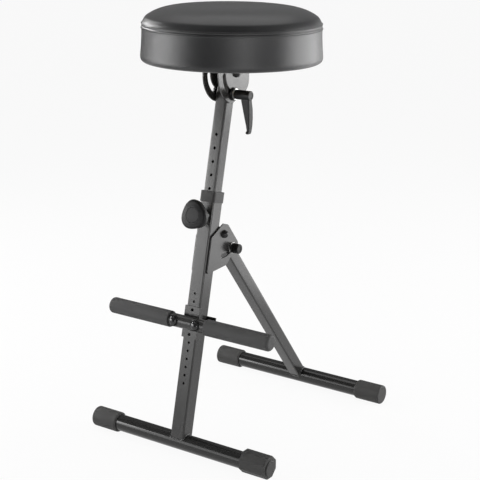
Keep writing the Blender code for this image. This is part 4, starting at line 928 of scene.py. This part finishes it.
SEAT_PLACE = Vector((0.0, -0.0513439, 0.7180467))
SEAT_RADIUS = 0.168
SEAM_RADIUS = 0.165
SEAM_HEIGHT = 0.0655
SEAT_CROWN = 0.0357
CROWN_POWER = 6.0
CREASE_RADIUS = 0.1595
CREASE_RISE = 0.0150
CREASE_SOFT = 0.0028
SHOULDER_BOW = 0.0007
SEAT_EDGE = 0.0095
SEAT_WAIST = 0.0007
RECESS_RADIUS = 0.1573
RECESS_DEPTH = 0.0123
PANEL_RADIUS = 0.110
SEAT_STEPS = 192
SEAM_DEPTH = 0.0016
SEAM_HALF = 0.0015
PANEL_LIP = 0.0002
BAND_LIP = 0.0004
FINE_STEPS = 60
SHOULDER_STEPS = 20
BAND_STEPS = 14
PANEL_SPACING = 0.0042
SHOULDER_SPACING = 0.0016
RING_REACH = 0.0001
FOAM_HOLD = 0.15
FOAM_UNEVEN = 0.6
FOAM_PATCH = 24.0
SEAM_HOLD = 0.8
SEAM_STIFF = 0.010
SWELL_FRAMES = 12
COVER_CLOTH = {"quality": 6, "mass": 0.3, "tension_stiffness": 40.0, "compression_stiffness": 40.0,
               "shear_stiffness": 13.0, "bending_stiffness": 2.0, "air_damping": 5.0, "shrink_min": 0.003,
               "use_pressure": True, "uniform_pressure_force": 4.0, "vertex_group_mass": "foam"}


def crown_height(radius):
    """Height of the top panel, a low dome as far as the foam's edge."""
    dome = (SEAT_CROWN - CREASE_RISE) * (1.0 - (radius / CREASE_RADIUS) ** CROWN_POWER)
    return SEAM_HEIGHT + CREASE_RISE + dome


def shoulder():
    """The top panel's fold over the foam's edge, and its slant from there to the seam."""
    before = CREASE_RADIUS - CREASE_SOFT
    start = Vector((before, crown_height(before)))
    fold = Vector((CREASE_RADIUS, crown_height(CREASE_RADIUS)))
    foot = Vector((SEAM_RADIUS + PANEL_LIP, SEAM_HEIGHT + SEAM_HALF))
    after = fold.lerp(foot, CREASE_SOFT / (foot - fold).length)
    out = Vector((fold.y - foot.y, foot.x - fold.x)).normalized() * SHOULDER_BOW
    line = []
    for step in range(SHOULDER_STEPS + 1):
        share = step / SHOULDER_STEPS
        line.append(start.lerp(fold, share).lerp(fold.lerp(after, share), share))
    for step in range(1, SHOULDER_STEPS + 1):
        share = step / SHOULDER_STEPS
        line.append(after.lerp(foot, share) + out * sin(pi * share))
    return [(point.x, point.y) for point in line]


def even(points, spacing):
    """Points at even steps along a line, both ends kept."""
    lengths = [0.0]
    for here, before in zip(points[1:], points):
        lengths.append(lengths[-1] + hypot(here[0] - before[0], here[1] - before[1]))
    count = max(1, round(lengths[-1] / spacing))
    spread = []
    index = 0
    for step in range(count + 1):
        along = lengths[-1] * step / count
        while index < len(points) - 2 and lengths[index + 1] < along:
            index += 1
        part = (along - lengths[index]) / (lengths[index + 1] - lengths[index])
        spread.append((points[index][0] + part * (points[index + 1][0] - points[index][0]),
                       points[index][1] + part * (points[index + 1][1] - points[index][1])))
    return spread


def pad_profile():
    """The pad's outline from its top panel down over the seam, the band and the hem, and into the recess."""
    reach = CREASE_RADIUS - CREASE_SOFT - PANEL_RADIUS
    fine = [PANEL_RADIUS + reach * step / FINE_STEPS for step in range(FINE_STEPS + 1)]
    dome = even([(radius, crown_height(radius)) for radius in fine], PANEL_SPACING)
    above = dome + even(shoulder(), SHOULDER_SPACING)[1:]
    seam = [(SEAM_RADIUS - SEAM_DEPTH, SEAM_HEIGHT), (SEAM_RADIUS + BAND_LIP, SEAM_HEIGHT - SEAM_HALF)]
    band = []
    for step in range(1, BAND_STEPS):
        share = step / BAND_STEPS
        drawn = SEAT_WAIST * sin(pi * share)
        band.append((SEAM_RADIUS + (SEAT_RADIUS - SEAM_RADIUS) * share - drawn,
                     SEAM_HEIGHT + (SEAT_EDGE - SEAM_HEIGHT) * share))
    hem = corner((SEAT_RADIUS - SEAT_EDGE, SEAT_EDGE), SEAT_EDGE, 0.0, -pi / 2, 5)
    recess = [(RECESS_RADIUS, 0.0), (RECESS_RADIUS, RECESS_DEPTH)]
    return above[1:] + seam + band + hem + recess


def ring_out(profile, height):
    """Draw a selected ring out along a profile, one extrusion at a time."""
    radius = PANEL_RADIUS
    for next_radius, next_height in profile:
        bpy.ops.mesh.extrude_region_move(TRANSFORM_OT_translate={"value": (0.0, 0.0, next_height - height)})
        grow = next_radius / radius
        bpy.ops.transform.resize(value=(grow, grow, 1.0), center_override=(0.0, 0.0, next_height))
        radius = next_radius
        height = next_height


def sewn_pad(name):
    """A disc filled with an even grid, domed, and drawn out into the band, the hem and the recess."""
    clear()
    bpy.ops.mesh.primitive_circle_add(vertices=SEAT_STEPS, radius=PANEL_RADIUS, enter_editmode=True)
    piece = named(name)
    bpy.ops.mesh.fill_grid(span=SEAT_STEPS // 4, use_interp_simple=True)
    shape = bmesh.from_edit_mesh(piece.data)
    for point in shape.verts:
        point.co.z = crown_height(hypot(point.co.x, point.co.y))
    bmesh.update_edit_mesh(piece.data)
    pick(piece, 'verts', lambda point: hypot(point.co.x, point.co.y) > PANEL_RADIUS - RING_REACH)
    ring_out(pad_profile(), crown_height(PANEL_RADIUS))
    bpy.ops.mesh.fill_grid(span=SEAT_STEPS // 4, use_interp_simple=True)
    bpy.ops.mesh.select_all(action='SELECT')
    bpy.ops.mesh.normals_make_consistent(inside=False)
    clear()
    return piece


def is_recess(point):
    """True for the points that the board covers."""
    return point.co.z < 2 * RECESS_DEPTH and hypot(point.co.x, point.co.y) < RECESS_RADIUS + RING_REACH


def swell(piece):
    """Draw the cover tight over its foam, which is a little uneven: held at the seam and under the board."""
    held = piece.vertex_groups.new(name="foam")
    for point in piece.data.vertices:
        from_seam = abs(point.co.z - SEAM_HEIGHT)
        at_seam = hypot(point.co.x, point.co.y) > CREASE_RADIUS and from_seam < 1.5 * SEAM_HALF
        if at_seam or point.co.z < 0.6 * SEAT_EDGE or is_recess(point):
            hold = 1.0
        else:
            uneven = 1.0 + FOAM_UNEVEN * noise.noise(point.co * FOAM_PATCH)
            hold = max(FOAM_HOLD * uneven, SEAM_HOLD * (1.0 - from_seam / SEAM_STIFF))
        held.add([point.index], hold, 'REPLACE')
    only(piece)
    bpy.ops.object.modifier_add(type='CLOTH')
    cover = piece.modifiers[-1]
    for setting, value in COVER_CLOTH.items():
        setattr(cover.settings, setting, value)
    cover.settings.effector_weights.gravity = 0.0
    cover.point_cache.frame_end = SWELL_FRAMES
    for step in range(1, SWELL_FRAMES + 1):
        scene.frame_set(step)
    bpy.ops.object.modifier_apply(modifier=cover.name)
    scene.frame_set(1)


def grained_leather():
    """Leatherette: small pebbles with creases between them, painted darker in the creases as shade, a slow
    drift, and tops polished by use.
    """
    made, tree, shader = blank("leatherette")
    place = put(tree, "TexCoord").outputs["Object"]
    warp = put(tree, "TexNoise", {"Vector": place, "Scale": 220.0, "Detail": 2.0})
    push = put(tree, "VectorMath", {0: warp.outputs["Color"], "Scale": 0.0012}, operation='SCALE')
    moved = put(tree, "VectorMath", {0: place, 1: push.outputs[0]}, operation='ADD')
    cells = put(tree, "TexVoronoi", {"Vector": moved.outputs[0], "Scale": 620.0}, feature='DISTANCE_TO_EDGE')
    pebble = put(tree, "MapRange", {"Value": cells.outputs["Distance"], "From Min": 0.02, "From Max": 0.30})
    skin = use(tree, SKIN_GRAIN, {"Scale": 2200.0, "Drift Scale": 9.0})
    fine = put(tree, "Math", {0: skin["Height"], 1: 0.25, 2: pebble.outputs[0]}, operation='MULTIPLY_ADD')
    # Pebble tops lighter than the creases: painted shade in the grain's creases.
    tone = put(tree, "Mix", {"Factor": pebble.outputs[0], "A": (0.007, 0.007, 0.008, 1.0),
                             "B": (0.014, 0.014, 0.015, 1.0)}, data_type='RGBA')
    aged = put(tree, "Mix", {"Factor": skin["Drift"], "A": tone.outputs["Result"],
                             "B": (0.018, 0.018, 0.019, 1.0)}, data_type='RGBA')
    gloss = put(tree, "MapRange", {"Value": pebble.outputs[0], "To Min": 0.45, "To Max": 0.31})
    relief = put(tree, "Bump", {"Strength": 0.22, "Distance": 0.0003, "Height": fine.outputs[0]})
    wire(tree, shader, aged, gloss, relief)
    shader.inputs["Specular IOR Level"].default_value = 0.5
    shader.inputs["Sheen Weight"].default_value = 0.05
    shader.inputs["Sheen Roughness"].default_value = 0.5
    return made


pad = sewn_pad("seat_pad")
swell(pad)
apply(pad, 'SUBSURF', levels=1, render_levels=1)
smooth(pad, 60.0)
settle(pad, SEAT_PLACE)
fitted(pad, "seat", "leatherette", grained_leather(), "seat_cushion")


# Seam stitches: two rows of twisted black thread, one on the top panel and one on the band, which hold the
# seam's turned edges flat.

THREAD = skinned("sewing_thread", (0.040, 0.040, 0.041), (0.070, 0.070, 0.071), (0.09, 0.09, 0.09),
                 (0.45, 0.60), 2500.0, 0.4, rub_and_highlight_amount=0.0)
STITCH_LENGTH = 0.0034
STITCH_WIDTH = 0.0010
STITCH_COUNT = 212
STITCH_ROUND = 0.32
STITCH_SLANT = 0.10
STITCH_OFFSET = 0.0042
PANEL_ROW_RADIUS = 0.1648
BAND_ROW_RADIUS = 0.1655


def stitch_row(name, radius, height):
    """One stitch, a rounded bar of thread, copied round the seat."""
    clear()
    bpy.ops.mesh.primitive_cube_add(size=1.0, enter_editmode=True)
    piece = named(name)
    bpy.ops.transform.resize(value=(STITCH_WIDTH, STITCH_LENGTH, STITCH_WIDTH),
                             center_override=(0.0, 0.0, 0.0))
    pick(piece, 'edges', lambda edge: True)
    bpy.ops.mesh.bevel(offset=STITCH_WIDTH * STITCH_ROUND, segments=1, affect='EDGES')
    bpy.ops.mesh.select_all(action='SELECT')
    bpy.ops.transform.rotate(value=STITCH_SLANT, orient_axis='X', center_override=(0.0, 0.0, 0.0))
    bpy.ops.transform.translate(value=(radius, 0.0, height))
    bpy.ops.mesh.spin(steps=STITCH_COUNT, dupli=True, angle=2 * pi, center=(0.0, 0.0, 0.0),
                      axis=(0.0, 0.0, 1.0))
    bpy.ops.mesh.select_all(action='SELECT')
    bpy.ops.mesh.remove_doubles(threshold=MERGE_REACH)
    bpy.ops.mesh.normals_make_consistent(inside=False)
    smooth(piece, 60.0)
    settle(piece, SEAT_PLACE)
    fitted(piece, "seat", "leatherette", THREAD)


stitch_row("panel_stitches", PANEL_ROW_RADIUS, SEAM_HEIGHT + STITCH_OFFSET)
stitch_row("band_stitches", BAND_ROW_RADIUS, SEAM_HEIGHT - STITCH_OFFSET)
